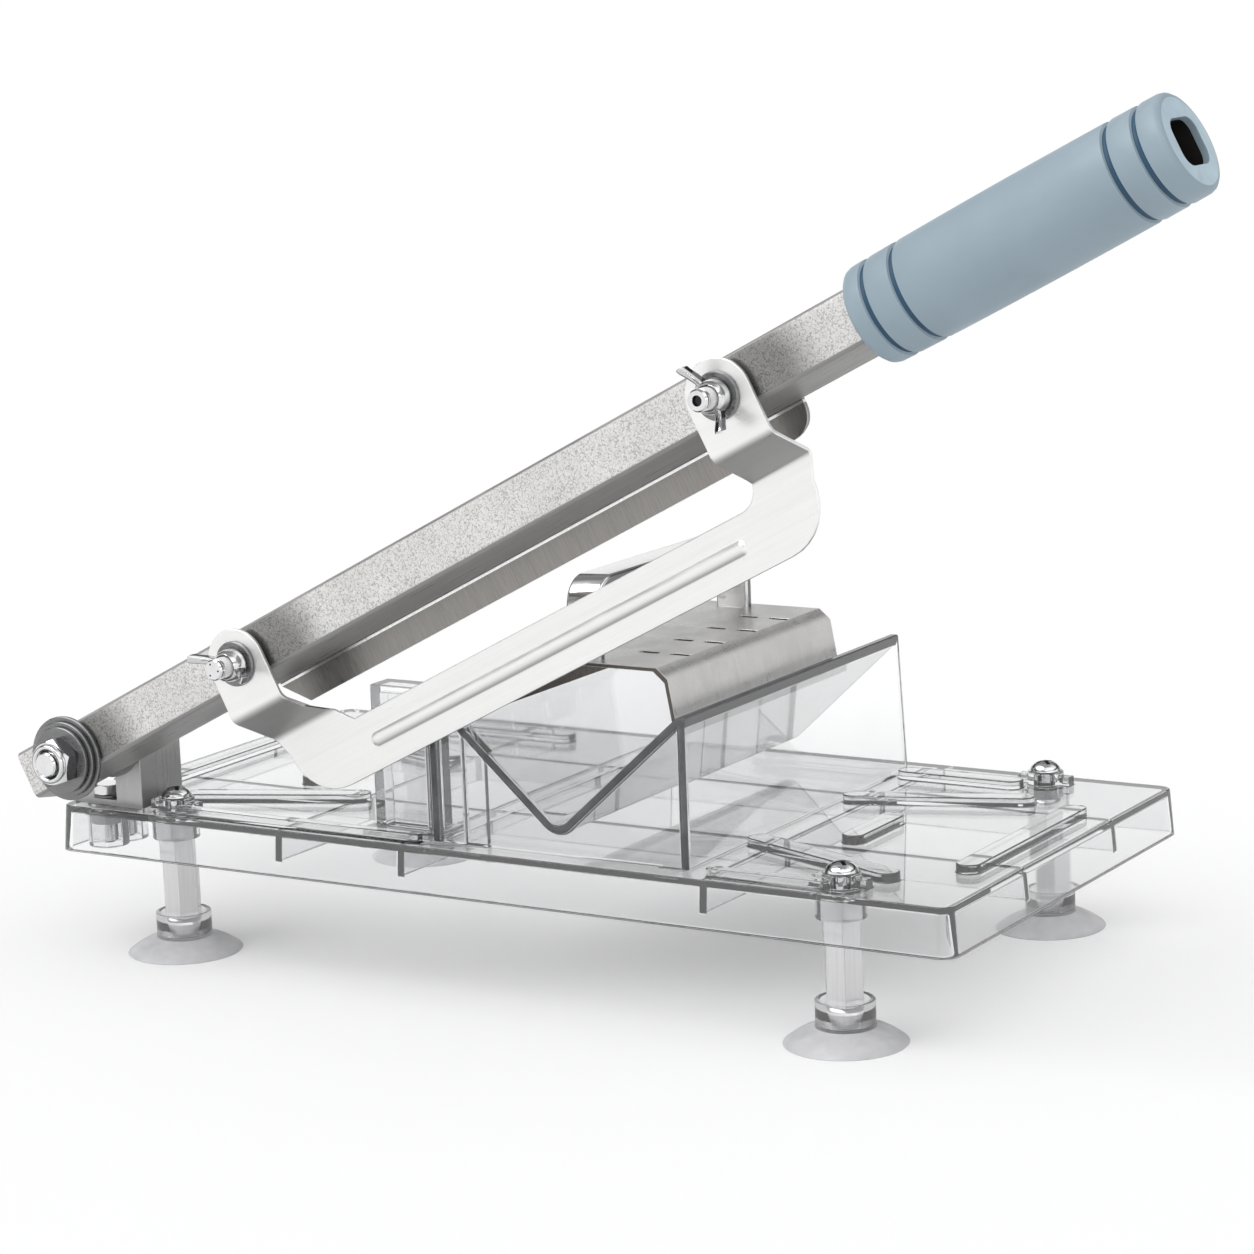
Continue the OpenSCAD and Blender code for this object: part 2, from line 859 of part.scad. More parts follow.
module pivot_bolt() {
    head_front = bracket_front + bracket_steel;
    color("silver")
        framed()
            translate([pivot_inset, 0, pivot_z]) {
                rod(pivot_thread / 2, pivot_bolt_front, head_front + slab);
                hex_rod(pivot_flats, head_front, head_front + pivot_head);
            }
}

// Thin washer that the arm turns against
module pivot_bearing() {
    color("ivory")
        framed()
            translate([pivot_inset, 0, pivot_z])
                ring(
                    bracket_eye,
                    pivot_thread / 2 + bolt_clearance,
                    arm_rear + moving_gap,
                    bracket_front
                );
}

module pivot_washers() {
    color("silver")
        framed()
            translate([pivot_inset, 0, pivot_z])
                for (index = [0:washer_count - 1])
                    translate([0, arm_front - moving_gap - index * (washer_steel + washer_gap), 0])
                        ring(
                            (pivot_washer - index * washer_step) / 2,
                            pivot_thread / 2 + bolt_clearance,
                            -washer_steel,
                            0
                        );
}

module pivot_nut() {
    nut_front = washer_front - pivot_nut_height;
    color("silver")
        framed()
            translate([pivot_inset, 0, pivot_z])
                difference() {
                    union() {
                        rotate([0, pivot_nut_turn, 0])
                            hex_rod(pivot_flats, nut_front, washer_front);
                        rod(pivot_flats / 2 - pivot_nut_shoulder, nut_front - pivot_nut_collar, washer_front);
                    }
                    rod(
                        pivot_thread / 2 + bolt_clearance,
                        nut_front - pivot_nut_collar - overrun,
                        washer_front + overrun
                    );
                }
}

// Section of the arm's tube, set in by a wall; X is the depth and Y the height
module arm_section(inset, radius) {
    front = arm_front + inset;
    rear = arm_rear - inset;
    top = arm_half - inset;
    hull()
        for (corner = [
            [front + radius, top - radius],
            [rear - radius, top - radius],
            [rear - radius, -top + radius],
            [front + radius, -top + arm_drop + radius]
        ])
            translate(corner)
                circle(radius, $fn = hull_facets);
}

// Length of the arm's section from one place to another along the arm
module arm_run(inset, radius, from, to) {
    translate([from, 0, 0])
        rotate([90, 0, 90])
            linear_extrude(to - from)
                arm_section(inset, radius);
}

module arm() {
    color([0.78, 0.78, 0.78])
        framed()
            on_arm()
                difference() {
                    arm_run(0, arm_corner, -arm_tail, arm_end);
                    arm_run(arm_wall, arm_corner - arm_wall / 2, -arm_tail - overrun, arm_end + overrun);
                    rod(sleeve_radius + running_clearance, arm_front - overrun, arm_rear + overrun);
                    for (place = stud_places)
                        translate([place, 0, 0])
                            rod(stud_thread / 2 + bolt_clearance, arm_front - overrun, arm_rear + overrun);
                }
}

// Sleeve that lines the arm's pivot holes and turns on the pivot bolt
module pivot_sleeve() {
    color("dimgray")
        framed()
            on_arm()
                ring(sleeve_radius, pivot_thread / 2 + running_clearance, arm_front, arm_rear);
}

// Outer shape of the grip, its axis along X
module grip_body() {
    radius = grip_diameter / 2;
    round_end = 2.5;
    translate([grip_start, (arm_front + arm_rear) / 2, 0])
        rotate([90, 0, 90])
            rotate_extrude()
                polygon(concat(
                    [[0, 0]],
                    arc([radius - round_end, round_end], round_end, -90, 0),
                    [
                        for (step = [1:cup_steps - 1])
                            [
                                radius + grip_swell * sin(180 * step / cup_steps),
                                round_end + (grip_length - 2 * round_end) * step / cup_steps
                            ]
                    ],
                    arc([radius - round_end, grip_length - round_end], round_end, 0, 90),
                    [[0, grip_length]]
                ));
}

module grip() {
    // Places of the grooves, as shares of the grip's length
    groove_shares = [0.067, 0.163, 0.838, 0.926];
    groove_radius = grip_diameter / 2 - groove_depth;
    color([0.60, 0.70, 0.77])
        framed()
            on_arm()
                difference() {
                    grip_body();
                    for (share = groove_shares)
                        translate([grip_start + share * grip_length, (arm_front + arm_rear) / 2, 0])
                            rotate([90, 0, 90])
                                translate([0, 0, -groove_width / 2])
                                    difference() {
                                        cylinder(r = grip_diameter, h = groove_width);
                                        cylinder(r = groove_radius, h = groove_width);
                                    }
                    arm_run(
                        -bolt_clearance,
                        arm_corner + bolt_clearance,
                        grip_start - overrun,
                        grip_end + overrun
                    );
                }
}

module blade() {
    foot = blade_rise - blade_height;
    end = blade_start + blade_length;
    slant = 10;
    round_corner = 9;
    color([0.62, 0.62, 0.62])
        framed()
            on_arm()
                difference() {
                    upright(arm_rear, blade_rear)
                        polygon(concat(
                            [
                                [end, blade_rise],
                                [blade_start, blade_rise],
                                [blade_start, foot + slant],
                                [blade_start + slant, foot]
                            ],
                            arc([end - round_corner, foot + round_corner], round_corner, -90, 0)
                        ));
                    for (place = stud_places)
                        translate([place, 0, 0])
                            rod(stud_thread / 2 + bolt_clearance, arm_rear - overrun, blade_rear + overrun);
                    // The ground edge, on the blade's rear face
                    sideways(blade_start - overrun, end + overrun)
                        polygon([
                            [arm_rear + blade_thickness / 4, foot],
                            [blade_rear, foot + bevel_height],
                            [blade_rear + overrun, foot + bevel_height],
                            [blade_rear + overrun, foot - overrun],
                            [arm_rear + blade_thickness / 4, foot - overrun]
                        ]);
                }
}

// Threaded stud with a low round head behind the blade
module stud(place) {
    color("silver")
        framed()
            on_arm()
                translate([place, 0, 0])
                    difference() {
                        union() {
                            rod(stud_thread / 2, stud_front, blade_rear + slab);
                            rod(stud_head / 2, blade_rear, blade_rear + stud_head_height);
                        }
                        rod(stud_dimple / 2, stud_front - overrun, stud_front + stud_dimple);
                    }
}

module lower_stud() {
    stud(stud_places[0]);
}

module upper_stud() {
    stud(stud_places[1]);
}

module stud_spacers() {
    color("silver")
        framed()
            on_arm()
                for (place = stud_places)
                    translate([place, 0, 0])
                        ring(
                            spacer_diameter / 2,
                            stud_thread / 2 + bolt_clearance,
                            arm_front - spacer_thickness,
                            arm_front
                        );
}

// Outline of the guard, seen from the front
module guard_outline() {
    inner_left = guard_left + 2 * ear_radius;
    inner_right = guard_right - 2 * ear_radius;
    window_corner = 9;
    window_slant = 12;
    polygon(concat(
        [
            [guard_left, 0],
            [guard_left, -fold_foot]
        ],
        arc([guard_left + guard_taper + guard_corner, guard_corner - guard_foot], guard_corner, 180, 270),
        arc([guard_right - guard_taper - guard_corner, guard_corner - guard_foot], guard_corner, 270, 360),
        [
            [guard_right, -fold_foot],
            [guard_right, 0],
            [inner_right, 0]
        ],
        arc([inner_right - window_corner, window_corner - guard_drop], window_corner, 0, -90),
        [
            [inner_left + window_slant, -guard_drop],
            [inner_left, window_slant - guard_drop],
            [inner_left, 0]
        ]
    ));
    for (place = stud_places)
        translate([place, 0])
            circle(ear_radius);
}

// Side view of the folded sheet: ears in front of the arm, bar back near the blade
module guard_fold() {
    polygon([
        [ear_front, ear_radius],
        [ear_front, -fold_top - fold_shift],
        [bar_front, -fold_foot - fold_shift],
        [bar_front, -guard_foot],
        [bar_rear, -guard_foot],
        [bar_rear, -fold_foot],
        [ear_rear, -fold_top],
        [ear_rear, ear_radius]
    ]);
}

module guard() {
    bead_height_place = -guard_drop - guard_bar / 2;
    bead_axis = bar_front - bead_height + bead_radius;
    color([0.85, 0.85, 0.85])
        framed()
            on_arm()
                difference() {
                    union() {
                        intersection() {
                            upright(ear_front - overrun, bar_rear + overrun)
                                guard_outline();
                            sideways(guard_left, guard_right)
                                guard_fold();
                        }
                        intersection() {
                            translate([0, bead_axis, bead_height_place]) {
                                translate([bead_start, 0, 0])
                                    rotate([0, 90, 0])
                                        cylinder(r = bead_radius, h = bead_end - bead_start);
                                for (x = [bead_start, bead_end])
                                    translate([x, 0, 0])
                                        sphere(bead_radius);
                            }
                            translate([guard_left, bar_front - bead_height, -guard_foot])
                                cube([guard_right - guard_left, bead_height + guard_steel / 2, guard_bar]);
                        }
                    }
                    for (place = stud_places)
                        translate([place, 0, 0])
                            rod(stud_thread / 2 + moving_gap, ear_front - overrun, ear_rear + overrun);
                }
}

module guard_washers() {
    color("silver")
        framed()
            on_arm()
                for (place = stud_places)
                    translate([place, 0, 0])
                        ring(
                            guard_washer / 2,
                            stud_thread / 2 + moving_gap,
                            wing_foot,
                            ear_front
                        );
}

// One wing of a wing nut, from its hub outward along X and forward
module wing() {
    root_x = stud_thread / 2 + wing_root_inset;
    root_rear = hub_foot - wing_root_inset;
    root_front = hub_foot - wing_hub_height + wing_root_inset;
    tip_x = wing_span / 2 - wing_tip / 2;
    tip_front = hub_foot - wing_height;
    hull() {
        for (y = [root_rear, root_front])
            translate([root_x, y, 0])
                sphere(d = wing_root, $fn = wing_facets);
        for (y = [tip_front, tip_front + wing_tip])
            translate([tip_x, y, 0])
                sphere(d = wing_thickness, $fn = wing_facets);
    }
}

// Wing nut on its stud, its wings turned by an angle from the arm's line
module wing_nut(place, angle) {
    bore = stud_thread / 2 + moving_gap;
    color([0.80, 0.80, 0.81])
        framed()
            on_arm()
                translate([place, 0, 0])
                    difference() {
                        union() {
                            translate([0, hub_foot, 0])
                                rotate([90, 0, 0])
                                    cylinder(
                                        d1 = wing_hub,
                                        d2 = wing_hub - wing_hub_taper,
                                        h = wing_hub_height
                                    );
                            rotate([0, -angle, 0])
                                for (side = [0, 1])
                                    mirror([side, 0, 0])
                                        wing();
                        }
                        rod(bore, hub_foot - wing_height - wing_tip, hub_foot + overrun);
                    }
}

module lower_wing_nut() {
    wing_nut(stud_places[0], wing_angles[0]);
}

module upper_wing_nut() {
    wing_nut(stud_places[1], wing_angles[1]);
}

// Section of the press cover, set in by a wall: a flat top with flanks that flare out
module press_section(inset) {
    half = press_width / 2 - inset / cos(press_angle);
    side = press_width / 2 + press_flare - inset / cos(press_angle);
    top = press_top - inset;
    bottom = press_foot - inset * overrun;
    translate([trough_middle, 0])
        polygon([
            [-side, bottom],
            [-half - press_corner * sin(press_angle), top - press_corner],
            [-half + press_corner, top],
            [half - press_corner, top],
            [half + press_corner * sin(press_angle), top - press_corner],
            [side, bottom]
        ]);
}

// Places of the press cover's slots, on its top
module at_press_slots() {
    for (side = [-1, 1], row = [1:press_slot_rows], column = [1:press_slot_columns])
        translate([
            trough_middle + side * (handle_width / 4 + row * press_slot_step),
            press_front + column * press_length / (press_slot_columns + 1),
            press_top
        ])
            children();
}

module press_cover() {
    press_rear = press_front + press_length;
    color([0.45, 0.44, 0.44])
        framed() {
            difference() {
                upright(press_front, press_rear)
                    press_section(0);
                upright(press_front - overrun, press_rear + overrun)
                    press_section(press_steel);
                for (y = [handle_front, handle_front + handle_length - handle_strap])
                    translate([trough_middle - tenon_length / 2, y, press_top - press_steel - overrun])
                        cube([tenon_length, handle_strap, press_steel + 2 * overrun]);
                at_press_slots()
                    translate([-press_slot_length / 2, -press_slot / 2, -press_steel - overrun])
                        cube([press_slot_length, press_slot, press_steel + 2 * overrun]);
            }
            // Teeth bent down from the slots, which grip the food
            at_press_slots()
                upright(press_slot / 2, press_slot / 2 + press_tooth_steel)
                    polygon([
                        [-press_slot_length / 2, -press_steel / 2],
                        [-press_slot_length / 4, -press_steel - press_tooth_drop],
                        [0, -press_steel - press_tooth_drop / 3],
                        [press_slot_length / 4, -press_steel - press_tooth_drop],
                        [press_slot_length / 2, -press_steel / 2]
                    ]);
        }
}

module press_handle() {
    rear = handle_front + handle_length;
    top = press_top + handle_height;
    inner_bend = handle_bend - handle_strap;
    color([0.90, 0.90, 0.91])
        framed() {
            sideways(trough_middle - handle_width / 2, trough_middle + handle_width / 2)
                difference() {
                    union() {
                        rounded(handle_front, press_top, rear, top, handle_bend);
                        translate([handle_front, press_top])
                            square([handle_length, handle_bend]);
                    }
                    rounded(
                        handle_front + handle_strap,
                        press_top - handle_bend,
                        rear - handle_strap,
                        top - handle_strap,
                        inner_bend
                    );
                }
            for (y = [handle_front, rear - handle_strap])
                translate([
                    trough_middle - tenon_length / 2 + bolt_clearance,
                    y + bolt_clearance,
                    press_top - press_steel
                ])
                    cube([
                        tenon_length - 2 * bolt_clearance,
                        handle_strap - 2 * bolt_clearance,
                        press_steel + slab
                    ]);
        }
}

board();
trough();
guide_post();
for (index = [0:len(leg_places) - 1]) {
    leg(leg_places[index]);
    cup(leg_places[index]);
}
foot_screws();
bracket();
bracket_bolts();
bracket_washers();
bracket_nuts();
pivot_bolt();
pivot_bearing();
pivot_washers();
pivot_nut();
arm();
pivot_sleeve();
grip();
blade();
lower_stud();
upper_stud();
stud_spacers();
guard();
guard_washers();
lower_wing_nut();
upper_wing_nut();
press_cover();
press_handle();
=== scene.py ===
"""Looks of a manual meat slicer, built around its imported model.

Everything is in metres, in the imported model's frame. Sizes written with * MM are
millimetres, counted as in the drawing: along the board, back from its front edge, up.
"""

import json
import math

import bpy
from mathutils import Matrix, Vector

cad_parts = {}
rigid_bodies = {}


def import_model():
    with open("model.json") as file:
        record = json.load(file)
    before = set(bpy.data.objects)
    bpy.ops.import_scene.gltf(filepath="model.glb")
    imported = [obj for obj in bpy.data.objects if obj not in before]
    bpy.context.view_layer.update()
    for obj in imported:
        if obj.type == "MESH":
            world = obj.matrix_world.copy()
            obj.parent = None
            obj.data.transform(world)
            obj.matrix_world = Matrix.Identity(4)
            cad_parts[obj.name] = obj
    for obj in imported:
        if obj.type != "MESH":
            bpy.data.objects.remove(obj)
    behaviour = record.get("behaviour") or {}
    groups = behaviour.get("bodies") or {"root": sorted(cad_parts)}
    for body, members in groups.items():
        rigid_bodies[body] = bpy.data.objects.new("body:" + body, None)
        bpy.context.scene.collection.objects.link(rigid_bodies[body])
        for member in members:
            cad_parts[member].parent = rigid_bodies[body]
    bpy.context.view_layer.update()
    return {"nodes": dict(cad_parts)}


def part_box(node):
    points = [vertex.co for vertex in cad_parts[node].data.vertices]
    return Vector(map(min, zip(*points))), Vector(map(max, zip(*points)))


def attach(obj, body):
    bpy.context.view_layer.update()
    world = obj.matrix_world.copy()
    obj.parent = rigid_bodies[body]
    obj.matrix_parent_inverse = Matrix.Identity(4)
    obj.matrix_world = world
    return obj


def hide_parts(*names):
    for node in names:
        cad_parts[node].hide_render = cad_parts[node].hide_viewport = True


bl_info = {
    "name": "Meat slicer finishes",
    "version": (1, 0, 0),
    "blender": (4, 5, 0),
    "location": "View3D > Sidebar > Slicer",
    "description": "Dresses the packed model of a manual meat slicer",
    "category": "Object",
}

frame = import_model()

MM = 0.001
SKIRT_FLARE = 1.5 * MM
BOARD_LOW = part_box("board")[0]
ORIGIN = Vector((BOARD_LOW.x + SKIRT_FLARE, BOARD_LOW.y + SKIRT_FLARE, 0))
REST_ANGLE = math.radians(27)


def at(x, y, z):
    """A point given in millimetres from the board's front left corner and the table."""
    return ORIGIN + Vector((x, y, z)) * MM


PIVOT = at(22, 0, 82)
# Lever pieces are made along X from the pivot and then turned to the arm's angle
LEVER = Matrix.Translation(PIVOT) @ Matrix.Rotation(-REST_ANGLE, 4, "Y")
# Turned pieces are made along Z and then laid with their Z towards the front
FORWARD = Matrix.Rotation(math.pi / 2, 4, "X")
ALONG = Matrix.Rotation(math.pi / 2, 4, "Y")

ARM_FRONT = -19
ARM_REAR = 5
STUDS = (97, 333)
LEG_PLACES = {
    "front_left": (48, 13),
    "front_right": (342, 13),
    "rear_left": (48, 181),
    "rear_right": (342, 181),
}
# Places on the arm's front face, in its own frame, round which a painted shadow of the ears and the washers darkens
# the steel
SHADOWED_SPOTS = [(place * MM, ARM_FRONT * MM, -2 * MM) for place in (13, 113, 349)]


def linear(code):
    """Linear colour of a hex code, opaque."""
    parts = [int(code[at_:at_ + 2], 16) / 255 for at_ in (0, 2, 4)]
    return tuple(
        part / 12.92 if part <= 0.04045 else ((part + 0.055) / 1.055) ** 2.4 for part in parts
    ) + (1.0,)


# ---- values that a user may change

def length_value(label, about, size, low, high):
    """A length in millimetres, for the sidebar."""
    return bpy.props.FloatProperty(
        name=label, description=about, default=size * MM, min=low * MM, max=high * MM, unit="LENGTH")


def colour_value(label, about, value):
    """A colour, for the sidebar."""
    return bpy.props.FloatVectorProperty(
        name=label, description=about, subtype="COLOR", size=4, default=value, min=0, max=1)


class SlicerSizes(bpy.types.PropertyGroup):
    """Sizes of the details"""

    edge_break: length_value("Edge break", "Width of the broken edges on sheet steel", 0.25, 0.05, 0.6)
    plastic_edge: length_value("Plastic edge", "Width of the rounded edges on the clear plastic", 0.45, 0.1, 1.2)
    thread_pitch: length_value("Thread pitch", "Pitch of the studs' thread", 1.0, 0.7, 2)
    thread_depth: length_value("Thread depth", "Depth of the studs' thread", 0.6, 0.2, 0.9)
    groove_depth: length_value("Groove depth", "Depth of the grooves round the grip", 1.4, 0.4, 2)
    maze_pitch: length_value("Emboss pitch", "Distance between the lines embossed on the arm", 1.3, 0.6, 3)


class SlicerColours(bpy.types.PropertyGroup):
    """Colours of the finishes"""

    clear: colour_value("Clear plastic", "Tint of the clear plastic", (0.9, 0.905, 0.91, 1))
    # Painted shade: the dark grey of the clear plastic's edges stands in for the light gathered inside them
    painted_edge_shade: colour_value("Cut edge", "Painted shade on the clear plastic's edges", linear("48494C"))
    cup: colour_value("Cups", "Colour of the suction cups", linear("E6E6E8"))
    grip: colour_value("Grip", "Colour of the grip", linear("98AAB5"))
    arm: colour_value("Arm", "Colour of the arm's steel", linear("EBEAE8"))
    guard: colour_value("Guard", "Colour of the slice guard's steel", linear("FAFAF9"))
    plated: colour_value("Plated steel", "Colour of the bright fasteners", linear("ECECED"))


# ---- node helpers

def node(tree, kind, inputs=None, **settings):
    """A new node, its sockets set or linked from a dict and its fields from keywords."""
    made = tree.nodes.new(kind)
    for field, value in settings.items():
        setattr(made, field, value)
    for socket, value in (inputs or {}).items():
        if isinstance(value, bpy.types.NodeSocket):
            tree.links.new(value, made.inputs[socket])
        else:
            made.inputs[socket].default_value = value
    return made


def maths(tree, operation, *values, clamp=False):
    """Result of a Math node."""
    made = node(tree, "ShaderNodeMath", dict(enumerate(values)), operation=operation)
    made.use_clamp = clamp
    return made.outputs[0]


def spread(tree, value, low, high, to_low=0.0, to_high=1.0, smooth=False):
    """value moved from one range to another."""
    return node(
        tree, "ShaderNodeMapRange",
        {"Value": value, "From Min": low, "From Max": high, "To Min": to_low, "To Max": to_high},
        interpolation_type="SMOOTHSTEP" if smooth else "LINEAR",
    ).outputs["Result"]


def blended(tree, factor, first, second, mode="MIX"):
    """Two colours mixed by a factor."""
    made = node(tree, "ShaderNodeMix", data_type="RGBA", blend_type=mode)
    for place, value in ((0, factor), (6, first), (7, second)):
        if isinstance(value, bpy.types.NodeSocket):
            tree.links.new(value, made.inputs[place])
        else:
            made.inputs[place].default_value = value
    return made.outputs[2]


def weighed(tree, first, second, share):
    """Sum of two values, the first with a share and the second with the rest."""
    return maths(tree, "ADD", maths(tree, "MULTIPLY", first, share), maths(tree, "MULTIPLY", second, 1 - share))


def grey(tree, level):
    """A grey from one value."""
    return node(tree, "ShaderNodeCombineColor", {0: level, 1: level, 2: level}).outputs[0]


def toned(colour, share, lift=0.0):
    """A colour made darker or lighter."""
    return tuple(min(1.0, channel * share + lift) for channel in colour[:3]) + (1.0,)


def noise(tree, where, scale, detail, roughness=0.5, distortion=0.0):
    """Value of a Noise Texture."""
    return node(tree, "ShaderNodeTexNoise", {
        "Vector": where, "Scale": scale, "Detail": detail, "Roughness": roughness, "Distortion": distortion,
    }).outputs["Fac"]


def new_group(name, inputs, outputs):
    """An empty shader node group with named sockets, and its input and output nodes."""
    group = bpy.data.node_groups.new(name, "ShaderNodeTree")
    for label, value in inputs.items():
        kind = "NodeSocketVector" if isinstance(value, tuple) else "NodeSocketFloat"
        group.interface.new_socket(label, in_out="INPUT", socket_type=kind).default_value = value
    for label in outputs:
        group.interface.new_socket(label, in_out="OUTPUT", socket_type="NodeSocketFloat")
    return group, group.nodes.new("NodeGroupInput").outputs, group.nodes.new("NodeGroupOutput").inputs


def brushing_group():
    """Fine parallel marks along X of the vector."""
    group, given, out = new_group(
        "Brushing", {"Vector": (0.0, 0.0, 0.0), "Length": 0.03, "Pitch": 0.0006}, ["Marks", "Bands"])
    along = maths(group, "DIVIDE", 1.0, given["Length"])
    across = maths(group, "DIVIDE", 1.0, given["Pitch"])
    scale = node(group, "ShaderNodeCombineXYZ", {0: along, 1: across, 2: across}).outputs[0]
    where = node(group, "ShaderNodeVectorMath", {0: given["Vector"], 1: scale}, operation="MULTIPLY").outputs[0]
    group.links.new(noise(group, where, 1.0, 3.0, 0.65), out["Marks"])
    group.links.new(noise(group, where, 0.14, 2.0), out["Bands"])
    return group


def maze_group():
    """Fine winding lines, as rolled into the arm's front face."""
    group, given, out = new_group("Maze", {"Vector": (0.0, 0.0, 0.0), "Pitch": 0.0013}, ["Ridges", "Patches"])
    scale = maths(group, "DIVIDE", 1.35, given["Pitch"])
    worms = noise(group, given["Vector"], scale, 0.0, distortion=0.5)
    contour = maths(group, "ABSOLUTE", maths(group, "SUBTRACT", worms, 0.5))
    breaks = noise(group, given["Vector"], maths(group, "MULTIPLY", scale, 1.7), 1.0)
    lines = spread(group, contour, 0.015, 0.1, smooth=True)
    gaps = spread(group, breaks, 0.54, 0.68, 0.0, 0.8, smooth=True)
    group.links.new(maths(group, "MAXIMUM", lines, gaps), out["Ridges"])
    group.links.new(noise(group, given["Vector"], 55.0, 3.0, 0.6), out["Patches"])
    return group


def smudge_group():
    """Large soft patches where a surface has been handled, and fine specks."""
    group, given, out = new_group("Smudges", {"Vector": (0.0, 0.0, 0.0), "Size": 0.02}, ["Patches", "Specks"])
    scale = maths(group, "DIVIDE", 1.0, given["Size"])
    group.links.new(noise(group, given["Vector"], scale, 4.0, 0.55, 0.4), out["Patches"])
    group.links.new(noise(group, given["Vector"], maths(group, "MULTIPLY", scale, 45.0), 2.0), out["Specks"])
    return group


def wear_group():
    """Mask of the edges, where handling polishes a finish; on the legs it darkens the edges as painted reflection.
    """
    group, given, out = new_group("Edge wear and shade", {"Radius": 0.0006, "Amount": 1.0}, ["Mask"])
    rounded = node(group, "ShaderNodeBevel", {"Radius": given["Radius"]}, samples=4).outputs[0]
    plain = node(group, "ShaderNodeNewGeometry").outputs["Normal"]
    match = node(group, "ShaderNodeVectorMath", {0: rounded, 1: plain}, operation="DOT_PRODUCT").outputs["Value"]
    edge = spread(group, match, 1.0, 0.75)
    group.links.new(maths(group, "MULTIPLY", edge, given["Amount"], clamp=True), out["Mask"])
    return group


GROUPS = {}


def use(tree, name, **inputs):
    """A shared node group placed in a material's tree, with its own values."""
    made = node(tree, "ShaderNodeGroup", node_tree=GROUPS[name])
    for label, value in inputs.items():
        if isinstance(value, bpy.types.NodeSocket):
            tree.links.new(value, made.inputs[label])
        else:
            made.inputs[label].default_value = value
    return made.outputs


def new_material(name, **sockets):
    """A material's tree, its Principled shader and its object coordinates."""
    material = bpy.data.materials.new(name)
    material.use_nodes = True
    tree = material.node_tree
    shader = tree.nodes["Principled BSDF"]
    for label, value in sockets.items():
        shader.inputs[label.replace("_", " ")].default_value = value
    return material, tree, shader, node(tree, "ShaderNodeTexCoord").outputs["Object"]


def turned_by(tree, vector, angle):
    """The coordinates turned about Y, so that their X runs along the arm."""
    return node(tree, "ShaderNodeMapping", {"Vector": vector, "Rotation": (0.0, angle, 0.0)}).outputs[0]


def coated(tree, shader, colour, roughness):
    """Links a shader's colour and roughness."""
    tree.links.new(colour, shader.inputs["Base Color"])
    tree.links.new(roughness, shader.inputs["Roughness"])


def bumped(tree, shader, height, strength, distance):
    """Relief on a shader's surface."""
    relief = node(tree, "ShaderNodeBump", {"Height": height, "Strength": strength, "Distance": distance})
    tree.links.new(relief.outputs["Normal"], shader.inputs["Normal"])


def brushed_steel(
        name, colour, along=0.0, dark=0.82, rough=(0.22, 0.42), length=0.03, pitch=0.0005, metallic=1.0, under=1.0):
    """Brushed sheet steel, its marks at an angle in the X-Z plane, with painted shade on faces that look down."""
    material, tree, shader, where = new_material(name, Metallic=metallic)
    marks = use(tree, "Brushing", Vector=turned_by(tree, where, along), Length=length, Pitch=pitch)
    smudges = use(tree, "Smudges", Vector=where, Size=0.018)
    edge_wear_and_shade = use(tree, "Edge wear and shade", Radius=0.0005, Amount=0.6)
    tone = weighed(tree, marks["Marks"], marks["Bands"], 0.6)
    mixed = blended(tree, spread(tree, tone, 0.35, 0.65), toned(colour, dark), tuple(colour))
    # Painted shade: faces that look down are darkened to the under share
    normal = node(tree, "ShaderNodeNewGeometry").outputs["Normal"]
    down = node(tree, "ShaderNodeSeparateXYZ", {0: normal}).outputs["Z"]
    shade = grey(tree, spread(tree, down, -0.7, -0.15, under, 1.0, smooth=True))
    mixed = blended(tree, 1.0, mixed, shade, mode="MULTIPLY")
    uneven = maths(
        tree, "ADD", spread(tree, marks["Marks"], 0.3, 0.7, *rough),
        spread(tree, smudges["Patches"], 0.4, 0.7, 0.0, 0.08))
    coated(tree, shader, blended(tree, edge_wear_and_shade["Mask"], mixed, toned(colour, 1.12)), uneven)
    bumped(tree, shader, marks["Marks"], 0.12, 0.00005)
    return material


def polished(name, colour, rough=(0.05, 0.14)):
    """Bright plated or polished metal with faint handling marks and a painted dark reflection band."""
    material, tree, shader, where = new_material(name, Metallic=1.0)
    smudges = use(tree, "Smudges", Vector=where, Size=0.008)
    edge_wear_and_shade = use(tree, "Edge wear and shade", Radius=0.0003, Amount=0.5)
    mixed = blended(tree, spread(tree, smudges["Patches"], 0.35, 0.65), toned(colour, 0.9), tuple(colour))
    # Painted reflection: a dark band at middling facing angles stands in for dark reflections in the chrome
    facing = node(tree, "ShaderNodeLayerWeight", {"Blend": 0.5}).outputs["Facing"]
    painted_dark_reflection = maths(
        tree, "MULTIPLY", spread(tree, facing, 0.3, 0.46, 0.0, 0.85, smooth=True),
        spread(tree, facing, 0.6, 0.76, 1.0, 0.0, smooth=True))
    mixed = blended(tree, painted_dark_reflection, mixed, (0.06, 0.06, 0.065, 1.0))
    coated(
        tree, shader, blended(tree, edge_wear_and_shade["Mask"], mixed, (0.97, 0.97, 0.97, 1.0)),
        spread(tree, smudges["Patches"], 0.3, 0.7, *rough))
    bumped(tree, shader, smudges["Specks"], 0.03, 0.00003)
    return material


def leg_steel(name, colour):
    """Bright drawn hex bar with faint vertical marks and edges darkened as painted reflection."""
    material, tree, shader, where = new_material(name, Metallic=0.7)
    marks = use(tree, "Brushing", Vector=turned_by(tree, where, math.pi / 2), Length=0.05, Pitch=0.0007)
    edge_wear_and_shade = use(tree, "Edge wear and shade", Radius=0.0004, Amount=0.9)
    mixed = blended(tree, spread(tree, marks["Marks"], 0.38, 0.62), toned(colour, 0.9), tuple(colour))
    # Painted reflection: the edges are darkened to near black
    coated(
        tree, shader, blended(tree, edge_wear_and_shade["Mask"], mixed, (0.16, 0.16, 0.17, 1.0)),
        spread(tree, marks["Bands"], 0.3, 0.7, 0.08, 0.2))
    bumped(tree, shader, marks["Marks"], 0.08, 0.00003)
    return material


